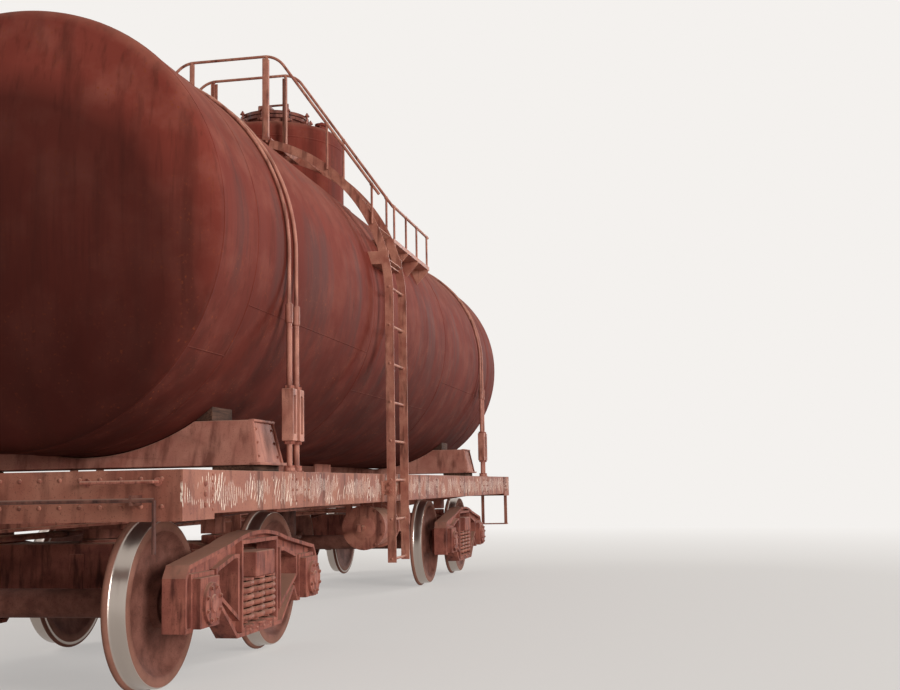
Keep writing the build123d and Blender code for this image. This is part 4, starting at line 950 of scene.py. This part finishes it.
# The lower joints of the rail, as shares of its slope from its bend to its foot
SLOPE_BALLS, SLOPE_BALL_R, BEND_OUT, RAIL_FOOT_Z = (0.5, 0.93), 17 * MM, 90 * MM, 3598 * MM
ANGLE_W, ANGLE_T, ANGLE_OFF, ANGLE_END = 44 * MM, 5 * MM, 10 * MM, 20 * MM
POSTS = ((rail_low.x + RAIL_R, -1), (rail_high.x - RAIL_R, 1))
slope_from = POST_Y + BEND_OUT
bm = bmesh.new()
for x, face in POSTS:
    for side in SIDES:
        ball(bm, (x, side * POST_Y, crest - SOCKET_DROP), SOCKET_R, 16, 10)
        foot = landing("walkway", (x - face * FLANGE_IN, side * POST_Y, deck_high.z), UP, 0.1)
        bar(bm, (x, side * POST_Y, foot.z), (x, side * POST_Y, foot.z + FLANGE_T), FLANGE_R, 18)
        for share in SLOPE_BALLS:
            y = slope_from + (rail_high.y - RAIL_R - slope_from) * share
            ball(bm, (x, side * y, crest + (RAIL_FOOT_Z - crest) * share), SLOPE_BALL_R, 14)
finished(bm, "rail_sockets", "car", LADDER_PAINT, sharp=60)

bm = bmesh.new()
for x, face in POSTS:
    for side in SIDES:
        back, flank = x + face * ANGLE_OFF, side * (POST_Y + ANGLE_OFF)
        bottom, top = deck_high.z - ANGLE_END, crest - ANGLE_END
        slab(bm, (back, flank, bottom), (back + face * ANGLE_T, flank - side * ANGLE_W, top), 1.5 * MM)
        slab(bm, (back, flank, bottom), (back - face * ANGLE_W, flank + side * ANGLE_T, top), 1.5 * MM)
finished(bm, "rail_post_angles", "car", LADDER_PAINT)

# %% [markdown]
# ## Deck and footboards
# The deck gets raised bars against slipping, as the real one is of ribbed plate, and the footboards by
# the dome get thin strips, bolts at their brackets and a ball where each post meets their rail.

# %% Deck bars and footboard details
board_low, board_high, _ = span("dome_footboards")
DECK_BARS, DECK_BAR_R, DECK_MARGIN = 17, 5 * MM, 20 * MM
BOARD_TOP = board_high.z - 312.5 * MM
BOARD_POSTS, BOARD_STRIPS = (0.04, 0.35, 0.65, 0.96), (0.2, 0.4, 0.6, 0.8)
BOARD_BOLTS, BOARD_BOLT_R, POST_BALL_R = (50 * MM, 150 * MM), 10 * MM, 16 * MM
STRIP_IN, STRIP_OUT, STRIP_HALF, STRIP_T = 190 * MM, 4 * MM, 2 * MM, 3 * MM


def along_board(share):
    return board_low.x + share * (board_high.x - board_low.x)


bm = bmesh.new()
for number in range(DECK_BARS):
    y = deck_low.y + (number + 0.5) * (deck_high.y - deck_low.y) / DECK_BARS
    near, far = (deck_low.x + DECK_MARGIN, y, deck_high.z), (deck_high.x - DECK_MARGIN, y, deck_high.z)
    bar(bm, near, far, DECK_BAR_R, 6)
for side in SIDES:
    for x in map(along_board, BOARD_POSTS):
        for inset in BOARD_BOLTS:
            spot = (x, side * (board_high.y - inset), BOARD_TOP)
            bolt_on(bm, "dome_footboards", spot, UP, BOARD_BOLT_R, 0.1, 0.15)
        ball(bm, (x, side * (board_high.y - RAIL_R), board_high.z - RAIL_R), POST_BALL_R, 14)
    for x in map(along_board, BOARD_STRIPS):
        slab(bm, (x - STRIP_HALF, side * (board_high.y - STRIP_IN), BOARD_TOP - STRIP_HALF),
             (x + STRIP_HALF, side * (board_high.y - STRIP_OUT), BOARD_TOP + STRIP_T))
finished(bm, "walkway_bars", "car", LADDER_PAINT)

# %% [markdown]
# ## Brake gear under the floor
# The cylinder's covers are bolted on, thin air pipes join it to the valve and the reservoir, and the
# reservoir shows the welds of its ends and a drain plug. The pipes are bars with ball corners.

# %% Cylinder and reservoir fittings
cylinder_low, cylinder_high, _ = span("brake_cylinder")
vessel_low, vessel_high, vessel_mid = span("air_reservoir")
CYLINDER_RIM_R, CYLINDER_Y = 202 * MM, -900 * MM
cylinder_z = cylinder_low.z + CYLINDER_RIM_R
RIM_BOLTS, RIM_BOLT_AT, RIM_BOLT_R = 10, 188 * MM, 11 * MM
COVER_IN, COVER_OUT, COVER_DISH_R, COVER_TIP_R = 4 * MM, 18 * MM, 120 * MM, 70 * MM
ROD_OUT, ROD_R = 130 * MM, 24 * MM
# The fork at the rod's end: where it starts and ends along the rod, its half width and half height
FORK_FROM, FORK_TO, FORK_W, FORK_H = 110 * MM, 190 * MM, 16 * MM, 34 * MM
VESSEL_R, VESSEL_Y = 152 * MM, 700 * MM
VESSEL_SEAM_IN, SEAM_W, SEAM_H, PLUG_R = 90 * MM, 14 * MM, 8 * MM, 18 * MM
vessel_z = vessel_low.z + VESSEL_R
bm = bmesh.new()
for x, face in ((cylinder_low.x, -1), (cylinder_high.x, 1)):
    for number in range(RIM_BOLTS):
        angle = math.tau * (number + 0.5) / RIM_BOLTS
        spot = (x, CYLINDER_Y + RIM_BOLT_AT * math.cos(angle), cylinder_z + RIM_BOLT_AT * math.sin(angle))
        bolt_on(bm, "brake_cylinder", spot, (face, 0, 0), RIM_BOLT_R, 0.5, 0.1)
    bar(bm, (x - face * COVER_IN, CYLINDER_Y, cylinder_z), (x + face * COVER_OUT, CYLINDER_Y, cylinder_z),
        COVER_DISH_R, 32, COVER_TIP_R)
rod_x = cylinder_low.x
bar(bm, (rod_x, CYLINDER_Y, cylinder_z), (rod_x - ROD_OUT, CYLINDER_Y, cylinder_z), ROD_R, 16)
slab(bm, (rod_x - FORK_TO, CYLINDER_Y - FORK_W, cylinder_z - FORK_H),
     (rod_x - FORK_FROM, CYLINDER_Y + FORK_W, cylinder_z + FORK_H), 6 * MM)
for x in (vessel_low.x + VESSEL_SEAM_IN, vessel_high.x - VESSEL_SEAM_IN):
    ring(bm, (x, VESSEL_Y, vessel_z), ALONG, VESSEL_R, SEAM_W, SEAM_H, steps=40)
bolt(bm, (vessel_mid.x, VESSEL_Y, vessel_z - VESSEL_R), (0, 0, -1), PLUG_R, 0.6)
print("cylinder axis", round(cylinder_z, 3), "reservoir axis", round(vessel_z, 3))

# %% Air pipes
PIPE_R = 11 * MM
valve_box_low, _, valve_box_mid = span("distributor_valve")
# Heights over the cylinder's axis, the valve's foot and the reservoir's axis
PIPE_UP, VALVE_UP, VESSEL_UP = 120 * MM, 210 * MM, 94 * MM
CYLINDER_TAP, CYLINDER_BEND, VESSEL_TAP = 30 * MM, 160 * MM, 80 * MM
VALVE_Y, LINK_Y, SUPPLY_Y = -720 * MM, 330 * MM, -620 * MM
LINK_X, SUPPLY_X = valve_box_mid.x + 40 * MM, valve_box_mid.x - 60 * MM


def pipe(bm, *points):
    for a, b in zip(points, points[1:]):
        bar(bm, a, b, PIPE_R, 10)
        ball(bm, b, PIPE_R * 1.25)


pipe_z, link_z, supply_z = cylinder_z + PIPE_UP, valve_box_low.z + VALVE_UP, vessel_z + VESSEL_UP
tap_x, bend_x = cylinder_high.x - CYLINDER_TAP, cylinder_high.x + CYLINDER_BEND
pipe(bm, (tap_x, CYLINDER_Y, pipe_z), (bend_x, CYLINDER_Y, pipe_z), (bend_x, VALVE_Y, pipe_z),
     (valve_box_mid.x, VALVE_Y, pipe_z))
pipe(bm, (LINK_X, VALVE_Y, link_z), (LINK_X, LINK_Y, link_z))
pipe(bm, (vessel_high.x - VESSEL_TAP, VESSEL_Y, supply_z), (SUPPLY_X, VESSEL_Y, supply_z),
     (SUPPLY_X, SUPPLY_Y, supply_z))
finished(bm, "brake_fittings", "car", FRAME_PAINT)

# %% [markdown]
# ## End gear
# Grab irons at the corners are bent from round bar and stand on small welded feet, and the train pipe
# ends in a flange. Each bend is a ball between two bars, which is as round as the bar itself.

# %% Grab irons and pipe flanges
IRON_R, IRON_OUT, IRON_DROP, IRON_Y = 9 * MM, 62 * MM, 60 * MM, (860 * MM, 1240 * MM)
IRON_FOOT_R, IRON_FOOT_T = 22 * MM, 7 * MM
PIPE_END, PIPE_Y, PIPE_Z = FRAME_END + 104 * MM, 330 * MM, 866 * MM
bm = bmesh.new()
for end in SIDES:
    x, out, z = end * FRAME_END, end * (FRAME_END + IRON_OUT), sill_high.z - IRON_DROP
    for side in SIDES:
        inner, outer = (side * y for y in IRON_Y)
        spots = [(x, inner, z), (out, inner, z), (out, outer, z), (x, outer, z)]
        for a, b in zip(spots, spots[1:]):
            bar(bm, a, b, IRON_R, 10)
        for spot in spots[1:3]:
            ball(bm, spot, IRON_R + 0.5 * MM)
        for y in (inner, outer):
            bar(bm, (x, y, z), (x + end * IRON_FOOT_T, y, z), IRON_FOOT_R, 14)
    ring(bm, (end * PIPE_END, PIPE_Y, PIPE_Z), ALONG, 27 * MM, 10 * MM, 14 * MM, steps=24)
finished(bm, "end_gear", "car", BOLT_STEEL)

# %% [markdown]
# ## Floor, backdrop and light
# A pale floor shows the shadow and fades into the backdrop. One soft lamp stands beyond the far end on
# the ladder's side, a second one off the near end lights the ladder and the sill, and a third fills
# the back. The white surround is only seen by the camera and by reflections, so it adds no light.

# %% Floor
FLOOR_SIZE = 160.0
FADE_FROM, FADE_TO = 7.0, 20.0
FLOOR_VEIL = 0.45
SURROUND = "#f4f1ee"


def watched(tree):
    # 1 for rays from the camera, from a mirror or through glass, which see the white surround
    seen = add(tree, "ShaderNodeLightPath", output="Is Camera Ray")
    for kind in ("Is Glossy Ray", "Is Transmission Ray"):
        other = add(tree, "ShaderNodeLightPath", output=kind)
        seen = add(tree, "ShaderNodeMath", {0: seen, 1: other}, operation="MAXIMUM")
    return seen


bpy.ops.mesh.primitive_plane_add(size=FLOOR_SIZE, location=(0, 0, 0))
floor = bpy.context.object
floor.name = "floor"
floor_paint, floor_tree, floor_shader, floor_place = blank("pale_floor")
floor_shader.inputs["Base Color"].default_value = linear("#d6d2cd")
floor_shader.inputs["Roughness"].default_value = 0.95
floor_shader.inputs["Specular IOR Level"].default_value = 0.1
far_away = add(floor_tree, "ShaderNodeVectorMath", {0: floor_place}, "Value", operation="LENGTH")
veil = mask(floor_tree, (far_away, FADE_FROM, FADE_TO, FLOOR_VEIL, 1.0), watched(floor_tree))
glow = add(floor_tree, "ShaderNodeEmission", {"Color": SURROUND, "Strength": 1.0})
blend = add(floor_tree, "ShaderNodeMixShader", {0: veil, 1: floor_shader.outputs[0], 2: glow})
floor_tree.links.new(blend, floor_tree.nodes["Material Output"].inputs["Surface"])
floor.data.materials.append(floor_paint)
print("floor", FLOOR_SIZE, "m wide")

# %% Lamps and surround
# Place, height of what it aims at, diameter and power of each lamp
LAMPS = {"far_lamp": ((30.0, -20.0, 11.0), 2.0, 8.0, 5200),
         "near_lamp": ((-17.0, -24.0, 7.0), 2.0, 12.0, 6200),
         "back_lamp": ((0.0, 24.0, 15.0), 2.5, 16.0, 2400)}
for name, (at, aim_z, size, power) in LAMPS.items():
    data = bpy.data.lights.new(name, "AREA")
    data.shape = "DISK"
    data.size = size
    data.energy = power
    lamp = bpy.data.objects.new(name, data)
    lamp.location = at
    lamp.rotation_euler = (Vector((0, 0, aim_z)) - Vector(at)).to_track_quat("-Z", "Y").to_euler()
    bpy.context.scene.collection.objects.link(lamp)

world = bpy.data.worlds.new("studio")
world.use_nodes = True
bpy.context.scene.world = world
sky = world.node_tree
sky_light = sky.nodes["Background"]
sky_light.inputs["Color"].default_value = linear("#efe9e4")
sky_light.inputs["Strength"].default_value = 0.38
white = add(sky, "ShaderNodeBackground", {"Color": SURROUND, "Strength": 1.0})
both = add(sky, "ShaderNodeMixShader", {0: watched(sky), 1: sky_light.outputs[0], 2: white})
sky.links.new(both, sky.nodes["World Output"].inputs["Surface"])
print(len(LAMPS), "lamps and the surround are ready")

# %% [markdown]
# ## Close the lesson
